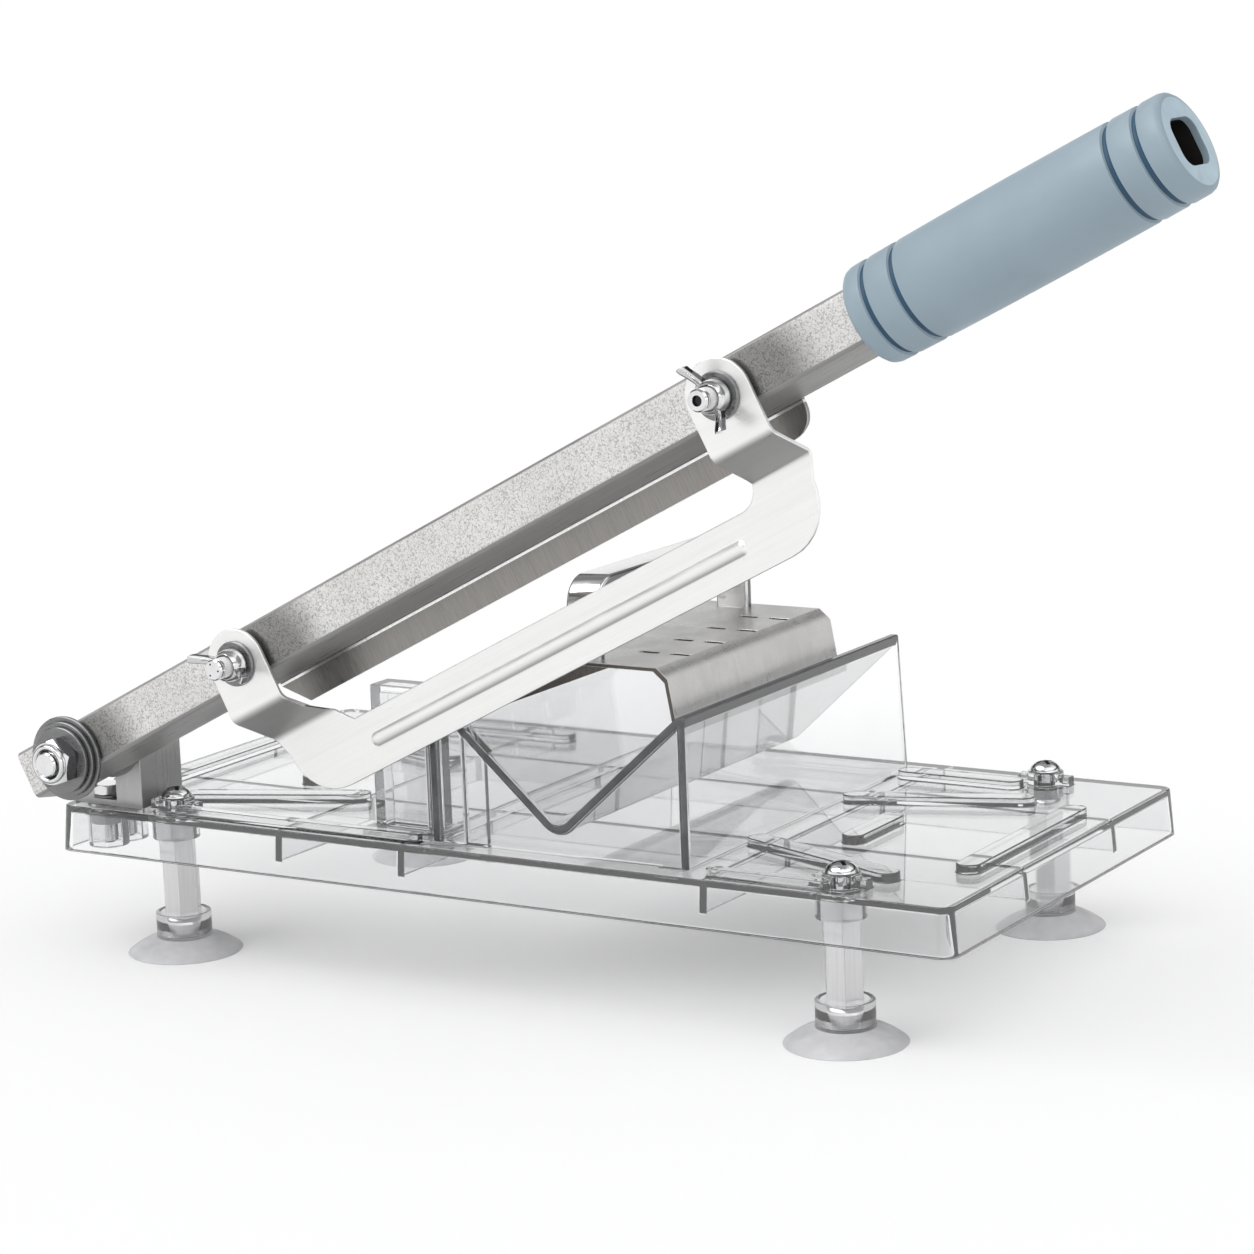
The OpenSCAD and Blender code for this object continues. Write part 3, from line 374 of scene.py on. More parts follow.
def lets_light_through(tree, shader, share, painted_glow_level=0.115):
    """Shadow rays pass through clear plastic; light caught inside the sheet shows as a painted grey glow."""
    output = tree.nodes["Material Output"]
    path = node(tree, "ShaderNodeLightPath")
    # Painted glow: a plain grey emission stands in for the light caught inside the sheet
    painted_glow = node(tree, "ShaderNodeEmission", {"Color": (1.0, 1.0, 1.0, 1.0), "Strength": painted_glow_level})
    through = node(tree, "ShaderNodeBsdfTransparent", {"Color": (share, share, share, 1.0)})
    bounced = maths(tree, "GREATER_THAN", path.outputs["Glossy Depth"], 1.5)
    deep = maths(tree, "GREATER_THAN", path.outputs["Transmission Depth"], 7.5)
    inside = node(tree, "ShaderNodeMixShader", {0: bounced, 1: shader.outputs[0], 2: painted_glow.outputs[0]})
    passing = maths(tree, "MAXIMUM", path.outputs["Is Shadow Ray"], deep)
    mix = node(tree, "ShaderNodeMixShader", {0: passing, 1: inside.outputs[0], 2: through.outputs[0]})
    tree.links.new(mix.outputs[0], output.inputs["Surface"])


def moulded(name, colour, other, size, gloss, grain=None, source="Patches", levels=(0.3, 0.7, 0.3, 0.7), **sockets):
    """Moulded plastic or rubber in two tones, with uneven gloss and, where given, a fine grain."""
    material, tree, shader, where = new_material(name, **sockets)
    smudges = use(tree, "Smudges", Vector=where, Size=size)
    mixed = blended(tree, spread(tree, smudges["Patches"], *levels[:2]), tuple(colour), other)
    coated(tree, shader, mixed, spread(tree, smudges[source], *levels[2:], *gloss))
    if grain:
        bumped(tree, shader, smudges["Specks"], *grain)
    return material, tree, shader


def clear_plastic(name, colour, painted_glow_level=0.115):
    """Clear moulded plastic with faint scuffs."""
    material, tree, shader = moulded(
        name, colour, toned(colour, 0.99), 0.03, (0.008, 0.05), levels=(0.35, 0.7, 0.35, 0.75),
        IOR=1.49, Transmission_Weight=1.0)
    lets_light_through(tree, shader, 0.975, painted_glow_level)
    return material


def plastic_edge(name, colour, transmission=0.12):
    """Edge of a clear sheet, which gathers the light inside it and looks dark; its dark colour is painted shade."""
    return moulded(
        name, colour, toned(colour, 1.7, 0.02), 0.012, (0.06, 0.2), (0.05, 0.00005), levels=(0.35, 0.7, 0.3, 0.7),
        IOR=1.49, Transmission_Weight=transmission)[0]


def frosted(name, colour, transmission, rough):
    """Soft translucent plastic."""
    material, tree, shader = moulded(
        name, colour, toned(colour, 0.86), 0.006, (rough - 0.08, rough + 0.08), (0.08, 0.0001),
        IOR=1.45, Transmission_Weight=transmission)
    lets_light_through(tree, shader, 0.7)
    return material


def grip_plastic(name, colour):
    """Satin moulded plastic with a fine orange peel and paler edges."""
    material, tree, shader = moulded(
        name, colour, toned(colour, 0.9), 0.03, (0.36, 0.48), (0.12, 0.00012), IOR=1.46)
    edge_wear_and_shade = use(tree, "Edge wear and shade", Radius=0.0008, Amount=0.55)
    mixed = shader.inputs["Base Color"].links[0].from_socket
    tree.links.new(blended(tree, edge_wear_and_shade["Mask"], mixed, toned(colour, 1.35)), shader.inputs["Base Color"])
    return material


def plain_plastic(name, colour, rough=0.5):
    """Matt plastic or rubber with a faint grain."""
    return moulded(
        name, colour, toned(colour, 0.8), 0.01, (rough - 0.08, rough + 0.08), (0.1, 0.0001), source="Specks")[0]


def embossed_steel(name, colour, pitch):
    """The arm's front face: bright ridges over darker valleys of painted shade, with a painted shadow near the ears
    and the washers.
    """
    material, tree, shader, where = new_material(name, Metallic=0.9)
    maze = use(tree, "Maze", Vector=where, Pitch=pitch)
    # Painted shade: the valleys between the embossed ridges are coloured darker
    ridges = blended(tree, maze["Ridges"], toned(colour, 0.6), tuple(colour))
    patches_and_shadow = spread(tree, maze["Patches"], 0.3, 0.7, 0.9, 1.0)
    # Painted shadow: the steel is darkened round each place where the ears and the washers shade it
    for spot in SHADOWED_SPOTS:
        away = node(tree, "ShaderNodeVectorMath", {0: where, 1: LEVER @ Vector(spot)}, operation="DISTANCE")
        painted_shadow = spread(tree, away.outputs["Value"], 0.010, 0.030, 0.36, 1.0, smooth=True)
        patches_and_shadow = maths(tree, "MULTIPLY", patches_and_shadow, painted_shadow)
    coated(
        tree, shader, blended(tree, 1.0, ridges, grey(tree, patches_and_shadow), mode="MULTIPLY"),
        spread(tree, maze["Ridges"], 0.0, 1.0, 0.5, 0.32))
    bumped(tree, shader, maze["Ridges"], 0.35, 0.00012)
    return material


def blade_steel(name, colour):
    """Brushed steel with a painted highlight line just below the tube."""
    material, tree, shader, where = new_material(name, Metallic=1.0)
    marks = use(
        tree, "Brushing", Vector=turned_by(tree, where, REST_ANGLE + math.pi / 2), Length=0.012, Pitch=0.0007)
    tone = weighed(tree, marks["Marks"], marks["Bands"], 0.8)
    mixed = blended(tree, spread(tree, tone, 0.3, 0.7), toned(colour, 0.7), tuple(colour))
    up = LEVER.to_3x3() @ Vector((0, 0, 1))
    height = node(tree, "ShaderNodeVectorMath", {0: where, 1: up}, operation="DOT_PRODUCT").outputs["Value"]
    below_tube = maths(tree, "ADD", maths(tree, "SUBTRACT", height, up.dot(PIVOT)), 12.1 * MM)
    # Painted highlight: a bright, glossier strip along the blade just below the tube
    painted_highlight = maths(tree, "LESS_THAN", maths(tree, "ABSOLUTE", below_tube), 0.5 * MM)
    rough = spread(tree, marks["Marks"], 0.3, 0.7, 0.24, 0.42)
    rough = maths(tree, "SUBTRACT", rough, maths(tree, "MULTIPLY", painted_highlight, 0.15))
    coated(tree, shader, blended(tree, painted_highlight, mixed, (0.95, 0.95, 0.94, 1.0)), rough)
    bumped(tree, shader, marks["Marks"], 0.12, 0.00005)
    return material


MATERIALS = {}


def make_materials():
    """Builds the shared groups and every material."""
    colours = bpy.context.scene.slicer_colours
    sizes = bpy.context.scene.slicer_sizes
    GROUPS["Brushing"] = brushing_group()
    GROUPS["Maze"] = maze_group()
    GROUPS["Smudges"] = smudge_group()
    GROUPS["Edge wear and shade"] = wear_group()
    MATERIALS.update({
        "clear": clear_plastic("Clear sheet", tuple(colours.clear)),
        # The clear plastic's edges: dark grey painted shade
        "edge": plastic_edge("Plastic edge", tuple(colours.painted_edge_shade)),
        # A lighter painted shade for edges hidden inside the board
        "inner_edge": plastic_edge("Inner plastic edge", linear("B9BABD"), 0.8),
        "cup": frosted("Frosted cup", tuple(colours.cup), 0.35, 0.42),
        "collar": clear_plastic("Clear collar", (0.97, 0.97, 0.975, 1), 0.55),
        "leg": leg_steel("Leg steel", linear("ECECED")),
        "plated": polished("Plated steel", tuple(colours.plated)),
        # Painted shade: near black for the cross recesses, the centre marks and the stud's centre hole
        "recess": plain_plastic("Recess", linear("1A1A1C"), 0.4),
        "washer": brushed_steel("Washer steel", linear("8A8A8B"), rough=(0.2, 0.34), length=0.004),
        "bracket": brushed_steel("Bracket steel", linear("BCBBBB"), math.pi / 2, dark=0.9),
        "bearing": plain_plastic("Bearing nylon", linear("8E8E90"), 0.45),
        "nut": frosted("Frosted nut", linear("F2F2F4"), 0.3, 0.35),
        "sleeve": brushed_steel("Sleeve steel", linear("8A8A8C")),
        "arm_face": embossed_steel("Embossed steel", tuple(colours.arm), sizes.maze_pitch),
        "arm_side": brushed_steel("Arm side steel", linear("C6C4C2"), REST_ANGLE, dark=0.8, length=0.05),
        # Painted shade: a darker copy of the arm's side steel for the tube's underside
        "arm_under": brushed_steel(
            "Arm underside painted shade", linear("A3A2A1"), REST_ANGLE, dark=0.8, length=0.05, metallic=0.4),
        # Painted shade: a dark grey for the walls inside the tube
        "arm_inside": plain_plastic("Tube inside", linear("262322"), 0.45),
        "grip": grip_plastic("Grip plastic", tuple(colours.grip)),
        # Painted shade: a dark navy for the grip's grooves
        "groove": plain_plastic("Grip groove", linear("2E5470"), 0.5),
        # Painted light: a paler copy of the grip plastic for its flat ends
        "grip_end": plain_plastic("Grip end", linear("BCD3E0"), 0.42),
        "blade": blade_steel("Blade steel", linear("A3A09D")),
        "ground": brushed_steel("Ground edge", linear("C8C8C8"), REST_ANGLE + math.pi / 2, length=0.003),
        # The guard's faces that look down get painted shade
        "guard": brushed_steel(
            "Guard steel", tuple(colours.guard), REST_ANGLE, dark=0.94, rough=(0.26, 0.4), under=0.45),
        "cover": brushed_steel("Cover steel", linear("CFCECD"), math.pi / 2, dark=0.88),
        # Painted shade: a darker copy of the cover steel for the faces inside the cover
        "cover_inside": brushed_steel("Cover inside", linear("6B6561"), math.pi / 2),
        "handle": polished("Handle steel", linear("ECECEC"), (0.08, 0.2)),
    })


# ---- modelling helpers

def deselect():
    """Leaves no object selected."""
    bpy.ops.object.select_all(action="DESELECT")


def mode(name):
    """Changes the active object's mode."""
    bpy.ops.object.mode_set(mode=name)


def select_only(piece):
    """Makes a piece the only selected object, and the active one."""
    if bpy.context.object and bpy.context.object.mode != "OBJECT":
        mode("OBJECT")
    deselect()
    piece.select_set(True)
    bpy.context.view_layer.objects.active = piece


def begin(name):
    """Names the primitive just added, and opens it for editing with all of it selected."""
    piece = bpy.context.object
    piece.name = name
    piece.data.name = name
    bpy.ops.object.transform_apply(location=True, rotation=True, scale=True)
    mode("EDIT")
    bpy.ops.mesh.select_mode(type="VERT")
    bpy.ops.mesh.select_all(action="SELECT")
    return piece


def end(smooth=35):
    """Closes the edit, after merging doubles and turning the faces outward."""
    bpy.ops.mesh.select_all(action="SELECT")
    bpy.ops.mesh.remove_doubles(threshold=1e-6)
    bpy.ops.mesh.normals_make_consistent(inside=False)
    mode("OBJECT")
    bpy.ops.object.shade_smooth_by_angle(angle=math.radians(smooth))


def smoothed(piece, angle):
    """Smooth shading up to an angle in degrees."""
    select_only(piece)
    bpy.ops.object.shade_smooth_by_angle(angle=math.radians(angle))


def placed(piece, matrix):
    """Moves a piece by a matrix and leaves its object at the origin, unturned."""
    select_only(piece)
    piece.matrix_world = matrix @ piece.matrix_world
    bpy.ops.object.transform_apply(location=True, rotation=True, scale=True)
    return piece


def turned(name, profile, sides=64, capped=True, smooth=35):
    """A piece turned on Z from (radius, height) points in millimetres."""
    first_radius, first_height = profile[0]
    deselect()
    bpy.ops.mesh.primitive_circle_add(
        vertices=sides, radius=max(first_radius, 0.001) * MM, fill_type="NOTHING",
        location=(0, 0, first_height * MM))
    piece = begin(name)
    if capped and first_radius > 0.01:
        bpy.ops.mesh.edge_face_add()
    radius, height = max(first_radius, 0.001), first_height
    for next_radius, next_height in profile[1:]:
        next_radius = max(next_radius, 0.001)
        bpy.ops.mesh.extrude_edges_move(
            TRANSFORM_OT_translate={"value": (0, 0, (next_height - height) * MM)})
        ratio = next_radius / radius
        bpy.ops.transform.resize(value=(ratio, ratio, 1), center_override=(0, 0, next_height * MM))
        radius, height = next_radius, next_height
    if capped and radius > 0.01:
        bpy.ops.mesh.edge_face_add()
    end(smooth)
    return piece


def modified(piece, kind, **settings):
    """Adds a modifier with its settings and applies it."""
    select_only(piece)
    modifier = piece.modifiers.new(kind.title(), kind)
    for field, value in settings.items():
        setattr(modifier, field, value)
    bpy.ops.object.modifier_apply(modifier=modifier.name)


def joined(name, pieces):
    """Several pieces as one object."""
    select_only(pieces[0])
    for piece in pieces:
        piece.select_set(True)
    bpy.ops.object.join()
    whole = bpy.context.object
    whole.name = name
    whole.data.name = name
    return whole


def copied(piece, name):
    """A copy with its own mesh."""
    select_only(piece)
    bpy.ops.object.duplicate()
    twin = bpy.context.object
    twin.name = name
    twin.data.name = name
    return twin


def removed(piece):
    """Deletes a helper piece."""
    select_only(piece)
    bpy.ops.object.delete()


def softened(cad_node, name, width, segments=2, edge_slot=-1, angle=40, plane_angle=1.0, fold=0.0):
    """A merged copy of a CAD node with its folds rounded, where asked, and its edges broken."""
    twin = copied(frame["nodes"][cad_node], name)
    bpy.ops.object.parent_clear(type="CLEAR_KEEP_TRANSFORM")
    for key in list(twin.keys()):
        if key.startswith("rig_"):
            del twin[key]
    twin.data.materials.clear()
    mode("EDIT")
    bpy.ops.mesh.select_all(action="SELECT")
    bpy.ops.mesh.customdata_custom_splitnormals_clear()
    bpy.ops.mesh.remove_doubles(threshold=2e-6)
    bpy.ops.mesh.dissolve_limited(angle_limit=math.radians(plane_angle))
    mode("OBJECT")
    if fold:
        folds_rounded(twin, fold)
    smoothed(twin, angle)
    modified(
        twin, "BEVEL", width=width, segments=segments, limit_method="ANGLE",
        angle_limit=math.radians(angle), use_clamp_overlap=False, material=edge_slot)
    modified(twin, "WEIGHTED_NORMAL", mode="FACE_AREA", weight=100, keep_sharp=True)
    return twin


def folds_rounded(piece, width, low=20, high=75):
    """Rounds a sheet's short folds, where it turns by an angle between low and high degrees."""
    sides = {}
    for face in piece.data.polygons:
        for key in face.edge_keys:
            sides.setdefault(key, []).append(face.normal)
    weights = piece.data.attributes.new("bevel_weight_edge", "FLOAT", "EDGE")
    for edge in piece.data.edges:
        normals = sides.get(edge.key, [])
        first, second = (piece.data.vertices[index].co for index in edge.vertices)
        if len(normals) == 2 and 8 * MM < (first - second).length < 60 * MM:
            turn = math.degrees(normals[0].angle(normals[1], 0))
            weights.data[edge.index].value = 1.0 if low < turn < high else 0.0
    modified(piece, "BEVEL", width=width, segments=5, limit_method="WEIGHT", use_clamp_overlap=False)


def faces_where(piece, test, slot):
    """Gives a material slot to the faces that pass a test of centre and normal."""
    for face in piece.data.polygons:
        if test(face.center, face.normal):
            face.material_index = slot


def finished(piece, materials, body, slot, *replaced):
    """Gives a piece its materials and body, and hides the CAD nodes that it stands for; the record slot is not used.
    """
    while len(piece.data.materials) < len(materials):
        piece.data.materials.append(None)
    for index, material in enumerate(materials):
        piece.data.materials[index] = MATERIALS[material]
    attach(piece, body)
    if replaced:
        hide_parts(*replaced)
    return piece


def cut(piece, cutter, operation="DIFFERENCE", **settings):
    """Applies a boolean with a cutter, and deletes the cutter."""
    modified(piece, "BOOLEAN", object=cutter, operation=operation, solver="EXACT", **settings)
    removed(cutter)


def on_stud(place):
    """Matrix that lays a piece on a stud's axis."""
    return LEVER @ Matrix.Translation((place * MM, 0, 0)) @ FORWARD


def thread(name, radius, depth, pitch, length, steps=20):
    """A ridge wound along Z, its crest at radius, all in millimetres."""
    deselect()
    bpy.ops.mesh.primitive_circle_add(
        vertices=3, radius=pitch * 0.5 * MM, fill_type="NOTHING", rotation=(math.pi / 2, 0, 0))
    piece = begin(name)
    mode("OBJECT")
    corners = ((radius, pitch * 0.5), (radius - depth - 0.1, pitch * 0.04), (radius - depth - 0.1, pitch * 0.96))
    for vertex, (across, up) in zip(piece.data.vertices, corners):
        vertex.co = (across * MM, 0, up * MM)
    modified(
        piece, "SCREW", axis="Z", angle=math.tau, screw_offset=pitch * MM,
        iterations=max(1, int(length / pitch)), steps=steps, render_steps=steps, use_merge_vertices=False)
    mode("EDIT")
    bpy.ops.mesh.select_all(action="SELECT")
    bpy.ops.mesh.fill_holes(sides=0)
    end(30)
    return piece


def hexagon(name, flats, low, high, chamfer):
    """A hexagonal nut or head along Z with its corners turned off at both ends."""
    corner = flats / math.cos(math.pi / 6) / 2
    deselect()
    bpy.ops.mesh.primitive_cylinder_add(
        vertices=6, radius=corner * MM, depth=(high - low) * MM, location=(0, 0, (low + high) / 2 * MM),
        rotation=(0, 0, math.pi / 6))
    piece = begin(name)
    end(20)
    inside, outside = flats / 2 - 0.2, corner + 0.05
    cone = turned(name + "_turned", [
        (inside, low), (outside, low + chamfer), (outside, high - chamfer), (inside, high)], 48)
    select_only(piece)
    cut(piece, cone, "INTERSECT")
    smoothed(piece, 20)
    return piece


# ---- operators

class SLICER_OT_materials(bpy.types.Operator):
    """Make the shared node groups and the materials"""

    bl_idname = "slicer.materials"
    bl_label = "Materials"

    def execute(self, context):
        make_materials()
        return {"FINISHED"}


class SLICER_OT_board(bpy.types.Operator):
    """Give the clear board its rounded edges, coloured dark with painted shade"""

    bl_idname = "slicer.board"
    bl_label = "Board"

    def execute(self, context):
        sizes = context.scene.slicer_sizes
        piece = softened("board", "board_clear", sizes.plastic_edge, 2, edge_slot=1)
        low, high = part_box("board")
        rim = 3.2 * MM

        def hidden(centre):
            """Edges that are neither on the skirt's outside nor on the top."""
            outside = min(centre.x - low.x, high.x - centre.x, centre.y - low.y, high.y - centre.y) < rim
            return centre.z < at(0, 0, 56.4).z and not outside

        # Hidden edges get the lighter painted shade of the inner edge material
        for face in piece.data.polygons:
            if face.material_index == 1 and hidden(face.center):
                face.material_index = 2
        finished(piece, ["clear", "edge", "inner_edge"], "base", "clear_plastic", "board")
        return {"FINISHED"}


class SLICER_OT_trough(bpy.types.Operator):
    """Give the trough and the guide post their rounded edges, coloured dark with painted shade"""

    bl_idname = "slicer.trough"
    bl_label = "Trough and guide post"

    def execute(self, context):
        sizes = context.scene.slicer_sizes
        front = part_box("trough")[0].y
        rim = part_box("trough")[1].z
        piece = softened("trough", "trough_clear", sizes.plastic_edge * 1.6, 3, edge_slot=1)
        # The trough's front end faces and the top of its rim get the dark painted shade too
        faces_where(piece, lambda centre, normal: normal.y < -0.9 and centre.y < front + 0.2 * MM, 1)
        faces_where(piece, lambda centre, normal: normal.z > 0.9 and centre.z > rim - 0.2 * MM, 1)
        finished(piece, ["clear", "edge"], "base", "clear_plastic", "trough")
        piece = softened("guide_post", "guide_post_clear", sizes.plastic_edge, 2, edge_slot=1)
        finished(piece, ["clear", "edge"], "base", "clear_plastic", "guide_post")
        return {"FINISHED"}


class SLICER_OT_feet(bpy.types.Operator):
    """Model the hexagonal legs, the suction cups and the cross-recess screws"""

    bl_idname = "slicer.feet"
    bl_label = "Legs, cups and foot screws"

    def execute(self, context):
        screws = []
        for place, (x, y) in LEG_PLACES.items():
            shift = Matrix.Translation(at(x, y, 0))
            shank = hexagon("leg_" + place + "_steel", 13, 13.2, 54, 0.8)
            foot = turned("foot_disc", [
                (0, 7), (8.2, 7), (8.8, 7.6), (8.8, 12.2), (8.3, 12.9), (6.8, 13.4), (0, 13.4)], 64)
            leg = placed(joined("leg_" + place + "_steel", [shank, foot]), shift)
            finished(leg, ["leg"], "base", "leg_metal", "leg_" + place)
            self.cup(place, shift)
            screws.append(placed(self.screw(), Matrix.Translation(at(x, y, 62))))
        finished(joined("cross_screws", screws), ["plated", "recess"], "base", "fastener_steel", "foot_screws")
        return {"FINISHED"}

    def cup(self, place, shift):
        """One cup: a thin flared skirt under a clear collar."""
        outer = [(10.8, 16), (10.8, 7.4), (11.1, 6.3), (13.2, 5.6), (16, 4.6), (18.6, 3.2), (20.8, 1.7), (22.2, 0.7)]
        under = [(22.5, 0.25), (22.2, 0), (21.4, 0.1), (19.6, 1.0), (16.6, 2.4), (12.6, 3.5), (7.5, 4.0), (0, 4.1)]
        inside = [(0, 6.9), (8.5, 6.9), (8.95, 7.3), (8.95, 15.5), (9.3, 16), (10.3, 16.15)]
        profile = list(reversed(under)) + [outer[-1]] + list(reversed(outer[:-1])) + list(reversed(inside))
        cup = turned("cup_" + place + "_soft", profile, 64, capped=False, smooth=50)
        faces_where(cup, lambda centre, normal: centre.z > 6.6 * MM and centre.xy.length > 8.7 * MM, 1)
        finished(placed(cup, shift), ["cup", "collar"], "base", "cup_rubber", "cup_" + place)

    def screw(self):
        """A round-headed screw with a cross recess, its head standing on z = 0."""
        dome = [(0, -22), (2.2, -22), (2.9, -21.2), (3, -1), (3, 0), (5.5, 0), (6, 0.35), (5.9, 1.0), (5.35, 2.0),
                (4.3, 2.95), (2.9, 3.55), (1.4, 3.85), (0, 3.9)]
        head = turned("screw", dome, 64, smooth=40)
        head.data.materials.append(MATERIALS["plated"])
        for turn in (45, 135):
            deselect()
            bpy.ops.mesh.primitive_cone_add(
                vertices=4, radius1=0.62 * math.sqrt(0.5), radius2=math.sqrt(0.5), depth=1,
                rotation=(0, 0, math.pi / 4))
            cutter = begin("cutter")
            end()
            placed(cutter, Matrix.Translation((0, 0, 3.9 * MM)) @ Matrix.Rotation(math.radians(turn), 4, "Z")
                   @ Matrix.Diagonal((9.6 * MM, 2.0 * MM, 4.4 * MM, 1)))
            # The recess faces take the near-black painted shade
            cutter.data.materials.append(MATERIALS["recess"])
            cut(head, cutter, material_mode="TRANSFER")
        modified(
            head, "BEVEL", width=0.12 * MM, segments=2, limit_method="ANGLE", angle_limit=math.radians(50),
            use_clamp_overlap=True)
        smoothed(head, 35)
        return head


class SLICER_OT_bracket(bpy.types.Operator):
    """Break the bracket's edges and model its bolts, washers and nuts"""

    bl_idname = "slicer.bracket"
    bl_label = "Bracket and its bolts"

    def execute(self, context):
        finished(softened("bracket", "bracket_folded", 0.4 * MM), ["bracket"], "base", "bracket_steel", "bracket")
        bolts, washers, nuts = [], [], []
        for y in (12.27, 24.23):
            where = Matrix.Translation(at(14.5, y, 0))
            head = hexagon("head", 10, 60.5, 64.5, 0.5)
            shank = turned("shank", [(0, 41.2), (2.3, 41.2), (2.9, 42), (2.9, 60.6), (0, 60.6)], 32)
            wound = placed(thread("wound", 3, 0.4, 1, 12), Matrix.Translation((0, 0, 41.6 * MM)))
            bolts.append(placed(joined("bolt", [head, shank, wound]), where))
            washer = turned("washer", [
                (3.1, 59.5), (5.5, 59.5), (5.75, 59.7), (5.75, 60.3), (5.5, 60.5), (3.1, 60.5), (3.1, 59.5),
            ], 48, capped=False)
            washers.append(placed(washer, where))
            nut = hexagon("nut", 10, 49, 54, 0.6)
            nuts.append(placed(nut, where))
        finished(joined("bracket_bolts_hex", bolts), ["plated"], "base", "fastener_steel", "bracket_bolts")
        finished(joined("bracket_washers_round", washers), ["washer"], "base", "fastener_steel", "bracket_washers")
        finished(joined("bracket_nuts_hex", nuts), ["nut"], "base", "fastener_steel", "bracket_nuts")
        return {"FINISHED"}


class SLICER_OT_pivot(bpy.types.Operator):
    """Model the pivot bolt, its washers and its collared nut"""

    bl_idname = "slicer.pivot"
    bl_label = "Pivot"

    def execute(self, context):
        frontward = Matrix.Translation(PIVOT) @ FORWARD
        # Heights are counted forward from the board's front edge
        head = hexagon("pivot_head", 17, -15.4, -9, 0.9)
        shank = turned("pivot_shank", [
            (0, -9.1), (4.9, -9.1), (4.9, 24), (4.55, 24.4), (4.55, 31.4), (4.85, 31.9), (4.85, 32.6), (4.3, 33.3),
            (0, 33.55)], 48)
        wound = placed(thread("pivot_thread", 4.95, 0.4, 1.5, 8), Matrix.Translation((0, 0, 23.6 * MM)))
        bolt = placed(joined("pivot_bolt_hex", [head, shank, wound]), frontward)
        finished(bolt, ["plated"], "base", "fastener_steel", "pivot_bolt")
        washers = []
        for index in range(3):
            rear = 19.3 + index * 1.75
            radius = 16.5 - index * 1.75
            washers.append(turned("washer", [
                (5.1, rear), (radius - 0.3, rear), (radius, rear + 0.3), (radius, rear + 1.4),
                (radius - 0.3, rear + 1.7), (5.1, rear + 1.7), (5.1, rear)], 96, capped=False, smooth=40))
        washers = placed(joined("pivot_washers_round", washers), frontward)
        finished(washers, ["washer"], "base", "fastener_steel", "pivot_washers")
        body = hexagon("nut_body", 17, 24.55, 30.6, 1.0)
        bore = turned("nut_bore", [(5.1, 20), (5.1, 40)], 48)
        collar = turned("nut_collar", [
            (5.15, 30), (7.5, 30), (7.7, 31.4), (7.3, 32.1), (6.6, 32.35), (5.9, 32.1), (5.4, 31.4), (5.15, 30),
        ], 64, capped=False, smooth=50)
        cut(body, bore)
        nut = joined("pivot_nut_hex", [body, collar])
        placed(nut, frontward @ Matrix.Rotation(math.radians(20), 4, "Z"))
        finished(nut, ["plated"], "base", "fastener_steel", "pivot_nut")
        return {"FINISHED"}


class SLICER_OT_arm(bpy.types.Operator):
    """Give the arm its embossed front and brushed sides, with painted shade on its underside and in its bore"""

    bl_idname = "slicer.arm"
    bl_label = "Arm and blade"

    def execute(self, context):
        arm = softened("arm", "arm_tube", 0.2 * MM, 2, angle=50)
        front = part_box("arm")[0].y
        turn = LEVER.inverted()
        normal_turn = turn.to_3x3()

        def inner(centre, normal):
            """Walls of the tube's inside, which look towards its middle."""
            spot, facing = turn @ centre, normal_turn @ normal
            depth = centre.y - front - 12 * MM
            inside = abs(depth) < 10.8 * MM and abs(spot.z) < 10.2 * MM
            return inside and facing.z * spot.z + facing.y * depth < 0 and facing.x ** 2 < 0.5

        faces_where(arm, lambda centre, normal: normal.y < -0.7 and centre.y < front + 0.4 * MM, 1)
        # The underside gets painted shade, and then the walls inside the tube
        faces_where(arm, lambda centre, normal: (normal_turn @ normal).z < -0.4, 3)
        faces_where(arm, inner, 2)
        finished(arm, ["arm_side", "arm_face", "arm_inside", "arm_under"], "lever", "arm_steel", "arm")
        blade = softened("blade", "blade_ground", 0.15 * MM)
        faces_where(blade, lambda centre, normal: 0.2 < abs(normal.y) < 0.95, 1)
        finished(blade, ["blade", "ground"], "lever", "blade_steel", "blade")
        return {"FINISHED"}


